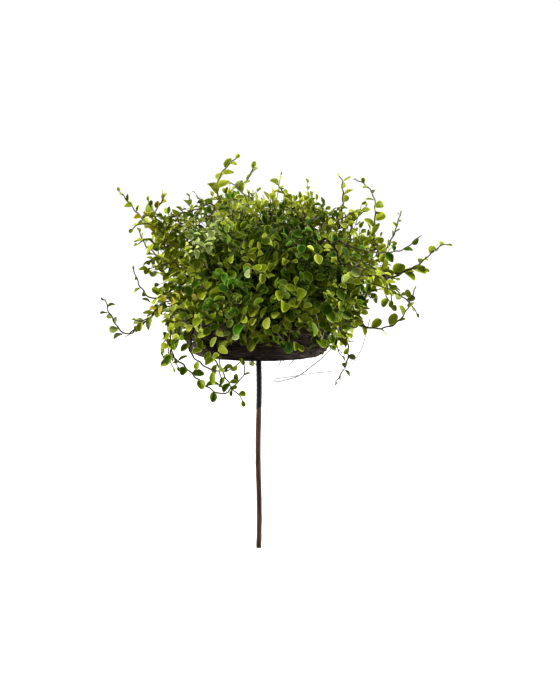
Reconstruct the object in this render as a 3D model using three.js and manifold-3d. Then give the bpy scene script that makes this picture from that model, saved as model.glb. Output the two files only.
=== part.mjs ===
// A wire vine trailing over a shallow basket of woven twigs, carried on a planting stake.
// Millimetres, +Z up, origin at the flat cut under the stake.
// +X is to the viewer's right and -Y is towards the viewer.

import * as THREE from "three";
import { mergeVertices } from "three/addons/utils/BufferGeometryUtils.js";
import Module from "manifold-3d";

const wasm = await Module();
wasm.setup();

// Driving dimensions
const CLEARANCE = 0.3;
const SAME_POINT = 1e-4;
const FINEST = 0.003;
const FLATNESS = 0.02;
const GOLDEN_ANGLE = Math.PI * (3 - Math.sqrt(5));

const BASKET = {
  floorZ: 238,
  height: 42,
  radius: 85,
  floorRadius: 73,
  wall: 6,
  floorThickness: 5,
  courses: 6,
  groove: 1.3,
  ripple: 1.1,
  weavePairs: 7,
  segments: 28,
};
const STAKE = {
  radius: 3.0,
  neckRadius: 2.6,
  sway: 0.7,
  halfWaves: 3,
  socketDepth: 18,
  sides: 10,
  steps: 10,
};
const WRAP = { length: 66, outerRadius: 3.4, sides: 10, steps: 4 };
const FILL = { belowRim: 5, segments: 20, inset: 1 };
const BOUGH = { rootRadius: 1.7, tipRadius: 1.3, length: 14, sides: 5, steps: 2, marks: 6 };
const STEM = { rootRadius: 1.3, tipRadius: 0.65, sides: 3, stepLength: 24, marks: 24 };
const TWIG = {
  rootRadius: 0.95,
  tipRadius: 0.6,
  sides: 3,
  steps: 2,
  marks: 6,
  spacing: 22,
  first: 0.3,
  length: 80,
  taper: 0.45,
  forward: 0.55,
  lift: { upright: 0.2, spreading: 0.2, hanging: -0.1 },
  rise: 0.25,
  sway: 0.5,
  variation: 0.3,
  cuts: [1, 0.75, 0.55, 0.4],
};
const LEAF = {
  length: 36,
  outerLength: 19,
  thickness: 0.07,
  spacing: 11,
  last: 0.93,
  forward: 0.55,
  endSpread: 0.15,
  sway: 0.5,
  turn: 0.8,
  lift: 0.35,
  variation: 0.15,
  tries: 6,
  shrink: 0.08,
};
// A leaf's corners beside its midrib: shares of its length along, aside and up.
const LEAF_WIDEST = { along: 0.52, aside: 0.42, up: 0.07 };
const LEAF_TIP = { along: 1, aside: 0.17, up: 0 };

// The crown's outline: a rounded drum, a little to the right of the stake.
const CROWN = { x: 14, y: 0, z: 348, radius: 152, halfHeight: 88, roundness: 3 };

// Sprays stand in tiers round the axis. Each one's stem rises from its foot and bends to its tip.
const TIERS = [
  { name: "top", count: 1, turn: 200, foot: 5, rise: 80, reach: 25, tipZ: 450, habit: "upright" },
  { name: "crown", count: 5, turn: 20, foot: 27, rise: 70, reach: 92, tipZ: 424, habit: "upright" },
  { name: "side", count: 7, turn: 4, foot: 48, rise: 50, reach: 162, tipZ: 346, habit: "spreading" },
  { name: "trail", count: 9, turn: 15, foot: 66, rise: 44, reach: 124, tipZ: 256, habit: "hanging" },
];

// How a stem of each habit bends into its tip.
const BEND = { drop: 50, lean: 34, arm: 74, arch: 22, overRim: 52, overhang: 8 };

// Room that a mass leaves beside its boundary with the next one, every bough, and the pot and stake.
const MARGIN = { space: 1.8, bough: 2.6, pot: 2.5 };

// What each repeatable draw decides.
const DRAW = { turn: 11, bend: 12, length: 13, face: 14, axis: 15, size: 16 };

// Long shoots that stand clear of the crown, by where their tips end.
const LONG_SHOOTS = {
  top_1: [-26, 12, 470],
  crown_1: [134, 42, 438],
  crown_3: [-168, 25, 430],
  crown_5: [98, -35, 450],
  side_1: [226, 14, 368],
  side_2: [166, 92, 402],
  trail_1: [94, 48, 200],
  trail_5: [-182, -8, 304],
  trail_6: [-46, -90, 190],
  trail_9: [190, -66, 300],
};

const UP = new THREE.Vector3(0, 0, 1);

// Colours and finishes
const finish = (color, roughness) => new THREE.MeshStandardMaterial({ color, roughness, metalness: 0 });
const STAKE_WOOD = finish(0x5a3d2e, 0.7);
const DARK_WRAP = finish(0x26272a, 0.55);
const BASKET_TWIG = finish(0x2a1c16, 0.8);
const PEAT = finish(0x1d1511, 0.95);
const WIRY_STEM = finish(0x4a3a22, 0.65);
const LEAF_GREENS = [0x75861c, 0x5d7316, 0x8b9a2e, 0x4c6618].map((color) => finish(color, 0.45));

// A repeatable number from 0 to 1 for a set of whole-number keys.
function chance(...keys) {
  let h = 2166136261;
  for (const key of keys) {
    h = Math.imul(h ^ key, 16777619);
    h ^= h >>> 13;
  }
  h = Math.imul(h ^ (h >>> 15), 2246822507);
  h ^= h >>> 13;
  return (h >>> 0) / 4294967296;
}

// A part of a longer curve, between two shares of its length.
class Stretch extends THREE.Curve {
  constructor(whole, from, to) {
    super();
    this.whole = whole;
    this.from = from;
    this.to = to;
  }

  getPoint(t, target = new THREE.Vector3()) {
    return this.whole.getPointAt(this.from + (this.to - this.from) * t, target);
  }
}

// A curve as the straight runs between its evenly spaced points.
function straightRuns(curve, steps) {
  const path = new THREE.CurvePath();
  const points = curve.getSpacedPoints(steps);
  for (let i = 0; i < steps; i++) path.add(new THREE.LineCurve3(points[i], points[i + 1]));
  return path;
}

// A geometry with only its positions, its shared vertices merged.
function welded(geometry) {
  const bare = geometry.clone();
  bare.deleteAttribute("normal");
  bare.deleteAttribute("uv");
  return mergeVertices(bare, SAME_POINT);
}

function solidOf(geometry) {
  const { attributes, index } = welded(geometry);
  return new wasm.Manifold(
    new wasm.Mesh({
      numProp: 3,
      vertProperties: attributes.position.array,
      triVerts: new Uint32Array(index.array),
    }),
  );
}

function geometryOf(solid) {
  const { vertProperties, triVerts } = solid.getMesh();
  const geometry = new THREE.BufferGeometry();
  geometry.setAttribute("position", new THREE.BufferAttribute(vertProperties, 3));
  geometry.setIndex(new THREE.BufferAttribute(triVerts, 1));
  geometry.computeVertexNormals();
  return geometry;
}

function vertices(geometry) {
  const position = geometry.getAttribute("position");
  const point = (i) => new THREE.Vector3().fromBufferAttribute(position, i);
  return Array.from({ length: position.count }, (_, i) => point(i));
}

// True where two solids join with no two corners of the joint too close to tell apart.
function joinsCleanly(a, b) {
  const corners = vertices(geometryOf(a.add(b)));
  const apart = (corner, other) => corner.distanceTo(other) > FINEST;
  return corners.every((corner, i) => corners.slice(i + 1).every((other) => apart(corner, other)));
}

// Fuses solids and keeps the one main body, without scraps or sealed hollows.
function fused(solids) {
  const bodies = wasm.Manifold.union(solids).decompose();
  return bodies.reduce((largest, body) => (body.volume() > largest.volume() ? body : largest));
}

function named(name, geometry, material) {
  const mesh = new THREE.Mesh(geometry, material);
  mesh.name = name;
  return mesh;
}

// A closed cylinder whose vertices are moved by place(share along it, x across, y across).
function shapedRod(sides, steps, place) {
  const geometry = welded(new THREE.CylinderGeometry(1, 1, 1, sides, steps));
  const position = geometry.getAttribute("position");
  for (let i = 0; i < position.count; i++) {
    const share = Math.round((0.5 - position.getY(i)) * steps) / steps;
    const point = place(share, position.getX(i), position.getZ(i));
    position.setXYZ(i, point.x, point.y, point.z);
  }
  return geometry;
}

// A tapering limb along a curve.
function limb(curve, startRadius, endRadius, sides, steps) {
  const frames = curve.computeFrenetFrames(steps);
  const centres = curve.getSpacedPoints(steps);
  return shapedRod(sides, steps, (share, across, aside) => {
    const i = Math.round(share * steps);
    const radius = THREE.MathUtils.lerp(startRadius, endRadius, share);
    return centres[i]
      .clone()
      .addScaledVector(frames.normals[i], across * radius)
      .addScaledVector(frames.binormals[i], aside * radius);
  });
}

// The stake and its wrap
function stakeSway(z) {
  if (z >= BASKET.floorZ) return 0;
  return STAKE.sway * Math.sin((Math.PI * STAKE.halfWaves * z) / BASKET.floorZ);
}

// A standing rod with level rings, flat at both ends. shapedRod starts at its upper end.
function standingRod(fromZ, toZ, radiusAt, sides, steps) {
  return shapedRod(sides, steps, (share, across, aside) => {
    const z = THREE.MathUtils.lerp(toZ, fromZ, share);
    const radius = radiusAt(z);
    return new THREE.Vector3(stakeSway(z) + across * radius, -aside * radius, z);
  });
}

const WRAP_TOP = BASKET.floorZ - CLEARANCE;
const WRAP_FOOT = WRAP_TOP - WRAP.length;
const STAKE_TOP = BASKET.floorZ + BASKET.floorThickness + STAKE.socketDepth;

function buildStake() {
  const radiusAt = (z) => (z < WRAP_FOOT ? STAKE.radius : STAKE.neckRadius);
  return named("stake", standingRod(0, STAKE_TOP, radiusAt, STAKE.sides, STAKE.steps), STAKE_WOOD);
}

function buildWrap() {
  const rod = (radius, extra) =>
    solidOf(standingRod(WRAP_FOOT - extra, WRAP_TOP + extra, () => radius, WRAP.sides, WRAP.steps));
  const bore = STAKE.neckRadius + CLEARANCE;
  const tube = rod(WRAP.outerRadius, 0).subtract(rod(bore, 1));
  return named("stake_wrap", geometryOf(tube), DARK_WRAP);
}

// The basket and what fills it. Profiles are (radius, height) points, turned about the axis.
function turned(profile, segments) {
  const points = profile.map(([radius, height]) => new THREE.Vector2(radius, height));
  return welded(new THREE.LatheGeometry(points, segments)).rotateX(Math.PI / 2);
}

const RIM_Z = BASKET.floorZ + BASKET.height;
const INNER_RADIUS = BASKET.radius - BASKET.wall;
const INNER_FLOOR_RADIUS = BASKET.floorRadius - BASKET.wall;
const INNER_FLOOR_Z = BASKET.floorZ + BASKET.floorThickness;
const CORNER = BASKET.radius - BASKET.floorRadius;
const FILL_TOP = RIM_Z - FILL.belowRim;

function buildBasket() {
  const hole = STAKE.neckRadius + CLEARANCE;
  const wallFoot = BASKET.floorZ + CORNER;
  const course = (RIM_Z - wallFoot) / BASKET.courses;
  const profile = [
    [hole, BASKET.floorZ],
    [BASKET.floorRadius, BASKET.floorZ],
    [BASKET.floorRadius + CORNER * Math.SQRT1_2, wallFoot - CORNER * Math.SQRT1_2],
  ];
  for (let k = 0; k < BASKET.courses; k++) {
    profile.push([BASKET.radius - BASKET.groove, wallFoot + course * k]);
    profile.push([BASKET.radius, wallFoot + course * (k + 0.5)]);
  }
  profile.push([BASKET.radius - BASKET.groove, RIM_Z]);
  profile.push([INNER_RADIUS, RIM_Z]);
  profile.push([INNER_RADIUS, wallFoot]);
  profile.push([INNER_FLOOR_RADIUS, INNER_FLOOR_Z]);
  profile.push([hole, INNER_FLOOR_Z]);
  profile.push(profile[0]);
  const geometry = turned(profile, BASKET.segments);
  weave(geometry, wallFoot, course);
  return named("basket", geometry, BASKET_TWIG);
}

// Each course goes out over one upright and in behind the next, and the courses alternate.
function weave(geometry, wallFoot, course) {
  const position = geometry.getAttribute("position");
  for (let i = 0; i < position.count; i++) {
    const [x, y, z] = [position.getX(i), position.getY(i), position.getZ(i)];
    const radius = Math.hypot(x, y);
    if (Math.abs(radius - BASKET.radius) > CLEARANCE) continue;
    const k = Math.floor((z - wallFoot) / course);
    const bulge = BASKET.ripple * Math.cos(BASKET.weavePairs * Math.atan2(y, x) + Math.PI * k);
    position.setXYZ(i, x * (1 + bulge / radius), y * (1 + bulge / radius), z);
  }
}

function buildFill() {
  const socket = STAKE.neckRadius + CLEARANCE;
  const profile = [
    [0, STAKE_TOP + CLEARANCE],
    [socket, STAKE_TOP + CLEARANCE],
    [socket, INNER_FLOOR_Z + CLEARANCE],
    [INNER_FLOOR_RADIUS - FILL.inset, INNER_FLOOR_Z + CLEARANCE],
    [INNER_RADIUS - FILL.inset, BASKET.floorZ + CORNER + CLEARANCE],
    [INNER_RADIUS - FILL.inset, FILL_TOP],
    [0, FILL_TOP],
  ];
  return named("fill", turned(profile, FILL.segments), PEAT);
}

// The vine: where each spray stands and how its stem bends
const BENDS = {
  upright: (out, tip) => tip.clone().addScaledVector(UP, -BEND.drop).addScaledVector(out, -BEND.lean),
  spreading: (out, tip) => tip.clone().addScaledVector(out, -BEND.arm).addScaledVector(UP, BEND.arch),
  hanging: (out, tip) => tip.clone().setZ(RIM_Z + BEND.overRim).addScaledVector(out, BEND.overhang),
};

function planSprays() {
  const sprays = [];
  for (const tier of TIERS) {
    for (let i = 0; i < tier.count; i++) {
      const name = `${tier.name}_${i + 1}`;
      const azimuth = THREE.MathUtils.degToRad(tier.turn + (360 * i) / tier.count);
      const out = new THREE.Vector3(Math.cos(azimuth), Math.sin(azimuth), 0);
      const foot = out.clone().multiplyScalar(tier.foot).setZ(FILL_TOP + CLEARANCE);
      const evenTip = new THREE.Vector3(CROWN.x, CROWN.y, tier.tipZ).addScaledVector(out, tier.reach);
      const tip = name in LONG_SHOOTS ? new THREE.Vector3(...LONG_SHOOTS[name]) : evenTip;
      const knee = BENDS[tier.habit](tip.clone().setZ(0).normalize(), tip);
      const shoulder = foot.clone().addScaledVector(UP, tier.rise);
      const curve = new THREE.CubicBezierCurve3(foot, shoulder, knee, tip);
      const length = curve.getLength();
      const bough = new Stretch(curve, 0, BOUGH.length / length);
      const stem = new Stretch(curve, (BOUGH.length + CLEARANCE) / length, 1);
      sprays.push({
        name,
        index: sprays.length,
        habit: tier.habit,
        bough,
        stem,
        stemLength: length - BOUGH.length - CLEARANCE,
        boughPoints: bough.getSpacedPoints(BOUGH.marks),
        stemPoints: stem.getSpacedPoints(STEM.marks),
      });
    }
  }
  return sprays;
}

const SPRAYS = planSprays();

// Rules that keep each mass to its own space
function nearest(points, to) {
  return Math.min(...points.map((point) => point.distanceTo(to)));
}

// A mass's own space lies nearer to its stem than to any other stem, and clear of every bough.
function insideOwnSpace(point, spray) {
  const own = nearest(spray.stemPoints, point);
  return SPRAYS.every((other) => {
    if (nearest(other.boughPoints, point) < MARGIN.bough) return false;
    return other === spray || own + MARGIN.space < nearest(other.stemPoints, point);
  });
}

function clearOfPot(point) {
  const radius = Math.hypot(point.x, point.y);
  if (point.z > RIM_Z + MARGIN.pot) return true;
  if (point.z < BASKET.floorZ - MARGIN.pot) return radius > WRAP.outerRadius + MARGIN.pot;
  return radius > BASKET.radius + BASKET.ripple + MARGIN.pot;
}

function insideCrown(point) {
  const n = CROWN.roundness;
  const across = Math.hypot(point.x - CROWN.x, point.y - CROWN.y) / CROWN.radius;
  const along = Math.abs(point.z - CROWN.z) / CROWN.halfHeight;
  return across ** n + along ** n < 1;
}

function twigFits(curve, spray) {
  const points = curve.getSpacedPoints(TWIG.marks).slice(1);
  const kept = (point) => spray.habit === "hanging" || insideCrown(point);
  return points.every((point) => kept(point) && insideOwnSpace(point, spray) && clearOfPot(point));
}

// A leaf: an arched blade, broadest past its middle, with its root at the origin, along +X.
function leafBlade(length) {
  const corners = [
    [0, 0, 0],
    [LEAF_WIDEST.along, -LEAF_WIDEST.aside, LEAF_WIDEST.up],
    [LEAF_TIP.along, -LEAF_TIP.aside, LEAF_TIP.up],
    [LEAF_TIP.along, LEAF_TIP.aside, LEAF_TIP.up],
    [LEAF_WIDEST.along, LEAF_WIDEST.aside, LEAF_WIDEST.up],
    [LEAF_WIDEST.along, 0, LEAF_WIDEST.up + LEAF.thickness],
  ];
  const crest = corners.length - 1;
  const upper = [0, 1, 2, 3, 4].flatMap((k) => [k, (k + 1) % crest, crest]);
  const under = [0, 4, 1, 1, 4, 3, 1, 3, 2];
  const blade = new THREE.BufferGeometry();
  blade.setAttribute("position", new THREE.Float32BufferAttribute(corners.flat(), 3));
  blade.setIndex([...upper, ...under]);
  return blade.scale(length, length, length);
}

// Places a blade at a root point: along its axis, with its face turned to a direction.
function placedLeaf(root, axis, face, length) {
  const side = new THREE.Vector3().crossVectors(face, axis).normalize();
  const normal = new THREE.Vector3().crossVectors(axis, side);
  const matrix = new THREE.Matrix4().makeBasis(axis, side, normal).setPosition(root);
  return leafBlade(length).applyMatrix4(matrix);
}

// A size drawn evenly within a share either side of its middle value.
function spreadAround(middle, share, ...keys) {
  return middle * (1 + share * (2 * chance(...keys) - 1));
}

// A small vector drawn evenly from a box round the origin.
function wobble(size, ...keys) {
  const part = (axis) => (chance(...keys, axis) - 0.5) * size;
  return new THREE.Vector3(part(1), part(2), part(3));
}

// Leaves look outwards from the middle of the crown's foot, and up to the light.
function leafFace(point, ...keys) {
  const face = point.clone().sub(new THREE.Vector3(CROWN.x, CROWN.y, CROWN.z - CROWN.halfHeight));
  face.normalize().addScaledVector(UP, LEAF.lift);
  return face.add(wobble(LEAF.turn, ...keys, DRAW.face)).normalize();
}

// A leaf on a shoot: left and right in turn, the last one straight on. Each try turns and sizes it anew.
function leafOn(shoot, spray, k, count, attempt) {
  const keys = [spray.index, shoot.number, k, attempt];
  const root = shoot.runs.getPoint((k / count) * LEAF.last);
  const along = shoot.runs.getTangent((k / count) * LEAF.last);
  const face = leafFace(root, ...keys);
  const aside = new THREE.Vector3().crossVectors(face, along).normalize();
  const spread = ((k + attempt) % 2 ? 1 : -1) * (k === count ? LEAF.endSpread : 1);
  const axis = along.multiplyScalar(LEAF.forward).addScaledVector(aside, spread);
  axis.add(wobble(LEAF.sway, ...keys, DRAW.axis)).normalize();
  const length = insideCrown(root) ? LEAF.length : LEAF.outerLength;
  const smaller = 1 - LEAF.shrink * attempt;
  return placedLeaf(root, axis, face, length * smaller * spreadAround(1, LEAF.variation, ...keys, DRAW.size));
}

// A leaf fits where it keeps to its mass's space and touches no other leaf or shoot of it.
function leafFits(blade, solid, shoot, { spray, leaves, shoots }) {
  if (!vertices(blade).every((v) => insideOwnSpace(v, spray) && clearOfPot(v))) return false;
  const others = [...leaves, ...shoots.filter((other) => other !== shoot).map((other) => other.solid)];
  return others.every((other) => solid.intersect(other).isEmpty()) && joinsCleanly(shoot.solid, solid);
}

function addLeaves(mass, shoot) {
  const count = Math.max(1, Math.round(shoot.length / LEAF.spacing));
  for (let k = count; k >= 1; k--) {
    for (let attempt = 0; attempt < LEAF.tries; attempt++) {
      const blade = leafOn(shoot, mass.spray, k, count, attempt);
      const solid = solidOf(blade);
      if (!leafFits(blade, solid, shoot, mass)) continue;
      mass.leaves.push(solid);
      break;
    }
  }
}

// A stem or twig of a mass: its solid, and the runs down its middle that leaves and twigs root on.
function shootAlong(curve, length, { rootRadius, tipRadius, sides }, steps, number) {
  const runs = straightRuns(curve, steps);
  const solid = solidOf(limb(curve, rootRadius, tipRadius, sides, steps));
  return { runs, length, solid, number };
}

// The curve of a side twig: out from its root along its aim, then bent towards the light.
function twigCurve(root, aim, bend, length) {
  const knee = root.clone().addScaledVector(aim, length / 2);
  const tip = knee.clone().addScaledVector(aim.clone().add(bend).normalize(), length / 2);
  return new THREE.QuadraticBezierCurve3(root, knee, tip);
}

// Side twigs stand round the stem by the golden angle, longest near the foot of the mass.
// A twig that would leave its mass's space is cut back until it fits, or skipped.
function twigsOf(spray, stem) {
  const twigs = [];
  const count = Math.floor(spray.stemLength / TWIG.spacing);
  for (let j = 0; j < count; j++) {
    const share = (j + TWIG.first) / count;
    const root = stem.runs.getPoint(share);
    const along = stem.runs.getTangent(share);
    const turn = GOLDEN_ANGLE * j + 2 * Math.PI * chance(spray.index, DRAW.turn);
    const across = new THREE.Vector3(along.y, -along.x, 0).normalize().applyAxisAngle(along, turn);
    const aim = across.addScaledVector(along, TWIG.forward);
    aim.addScaledVector(UP, TWIG.lift[spray.habit]).normalize();
    const bend = wobble(TWIG.sway, spray.index, j, DRAW.bend).addScaledVector(UP, TWIG.rise);
    const long = spreadAround(TWIG.length, TWIG.variation, spray.index, j, DRAW.length);
    const full = long * (1 - TWIG.taper * share);
    const curveOf = (cut) => twigCurve(root, aim, bend, full * cut);
    const cut = TWIG.cuts.find((share) => twigFits(curveOf(share), spray));
    if (!cut) continue;
    const twig = shootAlong(curveOf(cut), full * cut, TWIG, TWIG.steps, j + 1);
    if (joinsCleanly(stem.solid, twig.solid)) twigs.push(twig);
  }
  return twigs;
}

function buildMass(spray) {
  const steps = Math.ceil(spray.stemLength / STEM.stepLength);
  const stem = shootAlong(spray.stem, spray.stemLength, STEM, steps, 0);
  const twigs = twigsOf(spray, stem);
  const mass = { spray, leaves: [], shoots: [stem, ...twigs] };
  for (const shoot of [...twigs, stem]) addLeaves(mass, shoot);
  const solid = fused([...mass.shoots.map((shoot) => shoot.solid), ...mass.leaves]).simplify(FLATNESS);
  return named(`foliage_${spray.name}`, geometryOf(solid), LEAF_GREENS[spray.index % LEAF_GREENS.length]);
}

function buildBough(spray) {
  const geometry = limb(spray.bough, BOUGH.rootRadius, BOUGH.tipRadius, BOUGH.sides, BOUGH.steps);
  return named(`stem_${spray.name}`, geometry, WIRY_STEM);
}

const plant = new THREE.Group();
plant.name = "wire_vine_on_stake";
plant.add(buildStake(), buildWrap(), buildBasket(), buildFill());
for (const spray of SPRAYS) plant.add(buildBough(spray), buildMass(spray));

export default plant;
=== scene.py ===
"""The looks of a wire vine that trails from a woven twig basket on a planting stake.

Sizes are in millimetres, in the frame of the solids. Each mesh is written in metres.
"""

import logging
import math
from dataclasses import dataclass, field
from enum import Enum, IntEnum
from typing import Callable, Sequence

import bmesh
import bpy
import numpy as np
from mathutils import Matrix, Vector, noise


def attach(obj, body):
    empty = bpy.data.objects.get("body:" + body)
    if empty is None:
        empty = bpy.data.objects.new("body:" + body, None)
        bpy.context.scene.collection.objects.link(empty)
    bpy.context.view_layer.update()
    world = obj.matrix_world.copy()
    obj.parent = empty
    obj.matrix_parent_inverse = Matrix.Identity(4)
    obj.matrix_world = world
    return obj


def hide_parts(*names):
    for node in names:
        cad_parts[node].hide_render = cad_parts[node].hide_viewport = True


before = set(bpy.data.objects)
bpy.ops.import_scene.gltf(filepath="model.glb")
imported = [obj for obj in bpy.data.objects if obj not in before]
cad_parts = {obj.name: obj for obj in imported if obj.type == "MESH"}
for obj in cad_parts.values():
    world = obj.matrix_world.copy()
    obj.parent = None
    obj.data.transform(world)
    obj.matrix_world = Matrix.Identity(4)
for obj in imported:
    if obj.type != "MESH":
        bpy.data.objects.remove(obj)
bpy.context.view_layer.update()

LOG = logging.getLogger("wire_vine")
GRAIN_MAP = "grain"
MM = 0.001
TINY = 1e-9
NUDGE = 1e-6
STEEP = 0.9
FULL_TURN = 2.0 * math.pi
GOLDEN_ANGLE = math.pi * (3.0 - math.sqrt(5.0))
UP = np.array((0.0, 0.0, 1.0))
LIGHT = np.array((-0.15, -0.75, 0.65))
HASH_START = 2166136261
HASH_STEP = 16777619
HASH_STIR = 2246822507
HASH_END = 1 << 32

Array = np.ndarray
Piece = bpy.types.Object
Material = bpy.types.Material
Node = bpy.types.Node
Socket = bpy.types.NodeSocket
Keys = tuple[int, ...]
Point = tuple[float, float, float]
Span = tuple[float, float]
Colour = tuple[float, float, float, float]


class Draw(IntEnum):
    """What each repeatable draw decides."""

    TURN = 11
    BEND = 12
    LENGTH = 13
    FACE = 14
    AXIS = 15
    SIZE = 16
    TINT = 17
    CUP = 18
    KIND = 19
    STALK = 20
    SPUR = 21
    TWIST = 22


class FirstKey(IntEnum):
    """The number at which the draws for a kind of twig or shoot start."""

    STRAY = 40
    FLOOR = 50
    WHISKER = 60
    RUNNER = 100
    RIM_SPRAY = 200
    TOP_SPRAY = 300
    TIP = 900


class Habit(Enum):
    """How a stem grows."""

    UPRIGHT = "upright"
    SPREADING = "spreading"
    HANGING = "hanging"


class Order(Enum):
    """A shoot's place in the branching."""

    STEM = "stem"
    TWIG = "twig"
    SPUR = "spur"
    RUNNER = "runner"
    RIM_SPRAY = "rim spray"


class Bark(IntEnum):
    """The barks of the vine, in the order of their slots."""

    OLD = 0
    YOUNG = 1
    RUNNER = 2
    PALE = 3


class LeafPart(IntEnum):
    """The parts of a leaf, in the order of their slots."""

    BLADE = 0
    MARGIN = 1
    UNDERSIDE = 2


class Outline(IntEnum):
    """The outlines that leaves have."""

    ROUND = 0
    ELLIPTIC = 1
    OVATE = 2
    NARROW = 3


# Repeatable draws


def chance(*keys: int) -> float:
    """Draws a repeatable number.

    Args:
        keys: Whole numbers that name the draw.

    Returns:
        A number from 0 to 1.
    """
    h = HASH_START
    for key in keys:
        h = (h ^ key) * HASH_STEP % HASH_END
        h ^= h >> 13
    h = (h ^ (h >> 15)) * HASH_STIR % HASH_END
    h ^= h >> 13
    return h / HASH_END


def spread_around(middle: float, share: float, *keys: int) -> float:
    """Draws a size within a share either side of its middle value."""
    return middle * (1.0 + share * (2.0 * chance(*keys) - 1.0))


def between(span: Span, *keys: int) -> float:
    """Draws a size evenly from a span."""
    return span[0] + (span[1] - span[0]) * chance(*keys)


def wobble(size: float, *keys: int) -> Array:
    """Draws a small vector evenly from a box round the origin."""
    return np.array([(chance(*keys, axis) - 0.5) * size for axis in (1, 2, 3)])


def alternate(number: int) -> float:
    """Gives 1 for an odd number and -1 for an even one."""
    return 1.0 if number % 2 else -1.0


# Lines through space


def unit(vector: Array) -> Array:
    """Scales a vector, or each row of vectors, to length 1."""
    return vector / np.maximum(np.linalg.norm(vector, axis=-1, keepdims=True), TINY)


def level_aim(turn: float) -> Array:
    """Gives the level unit direction at a turn about the upright axis."""
    return np.array((math.cos(turn), math.sin(turn), 0.0))


def turned(vector: Array, axis: Array, angle: float) -> Array:
    """Turns a vector about a unit axis by an angle in radians."""
    c, s = math.cos(angle), math.sin(angle)
    return vector * c + np.cross(axis, vector) * s + axis * np.dot(axis, vector) * (1.0 - c)


class Path:
    """A line through space that is read by the share of its length."""

    def __init__(self, points: Array) -> None:
        """Keeps the points and how far along the line each one lies.

        Args:
            points: The line's points, one a row.
        """
        self.points = np.asarray(points, dtype=float)
        runs = np.linalg.norm(np.diff(self.points, axis=0), axis=1)
        self.marks = np.concatenate(([0.0], np.cumsum(runs)))
        self.length = float(self.marks[-1])

    def at(self, shares: Array) -> Array:
        """Gives the points at some shares of the length."""
        wanted = np.asarray(shares) * self.length
        return np.stack([np.interp(wanted, self.marks, self.points[:, k]) for k in range(3)], axis=-1)

    def heading(self, share: float) -> Array:
        """Gives the direction in which the line runs at a share of its length."""
        ends = self.at(np.clip((share - 0.02, share + 0.02), 0.0, 1.0))
        return unit(ends[1] - ends[0])

    def part(self, start: float, end: float, marks: int = 32) -> "Path":
        """Gives the stretch between two shares of the length."""
        return Path(self.at(np.linspace(start, end, marks + 1)))

    def gaps(self, point: Array) -> Array:
        """Gives the distance of each of the line's points from another point."""
        return np.linalg.norm(self.points - point, axis=1)

    def nearest(self, point: Array) -> Array:
        """Gives the point of the line that is nearest to another point."""
        return self.at(self.marks[np.argmin(self.gaps(point))] / self.length)


def around(turns: Array, reach: Array, z: Array) -> Path:
    """Gives the path through turns about the upright axis, at some reaches and heights."""
    return Path(np.stack((reach * np.cos(turns), reach * np.sin(turns), z), axis=-1))


def bezier(corners: Sequence[Array], marks: int) -> Path:
    """Draws a Bezier curve.

    Args:
        corners: Its control points, from start to end.
        marks: How many runs it is drawn in.

    Returns:
        The curve as a path.
    """
    t = np.linspace(0.0, 1.0, marks + 1)[:, None]
    points = [np.asarray(corner, dtype=float)[None, :] for corner in corners]
    while len(points) > 1:
        points = [(1.0 - t) * a + t * b for a, b in zip(points, points[1:])]
    return Path(points[0])


def bowed(root: Array, start: Array, end: Array, length: float, marks: int) -> Path:
    """Draws a curve whose first half runs in one unit direction and its second half in another."""
    middle = root + start * (length / 2.0)
    return bezier((root, middle, middle + end * (length / 2.0)), marks)


def spline(knots: Sequence[Point], marks: int = 8) -> Path:
    """Draws a smooth curve through points.

    Args:
        knots: The points, from start to end.
        marks: How many runs join two of them.

    Returns:
        The curve as a path.
    """
    inner = np.asarray(knots, dtype=float)
    line = np.vstack((2.0 * inner[0] - inner[1], inner, 2.0 * inner[-1] - inner[-2]))
    t = np.linspace(0.0, 1.0, marks, endpoint=False)[:, None]
    runs = []
    for a, b, c, d in zip(line, line[1:], line[2:], line[3:]):
        bend = (2.0 * a - 5.0 * b + 4.0 * c - d) * t**2 + (3.0 * b - a - 3.0 * c + d) * t**3
        runs.append(0.5 * (2.0 * b + (c - a) * t + bend))
    return Path(np.vstack((*runs, inner[-1:])))


def carried_across(headings: Array) -> Array:
    """Carries a crosswise direction along a line without twist.

    Args:
        headings: The line's unit direction at each ring.

    Returns:
        A unit direction across the line at each ring.
    """
    held = UP if abs(headings[0, 2]) < STEEP else np.array((1.0, 0.0, 0.0))
    across = np.empty_like(headings)
    for i, heading in enumerate(headings):
        held = held - heading * np.dot(held, heading)
        held = held / max(float(np.linalg.norm(held)), TINY)
        across[i] = held
    return across


# Meshes from arrays


@dataclass(frozen=True)
class Tube:
    """How a round limb is cut up, and its relief as a share of the radius."""

    sides: int
    step: float
    relief: float = 0.1


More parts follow.
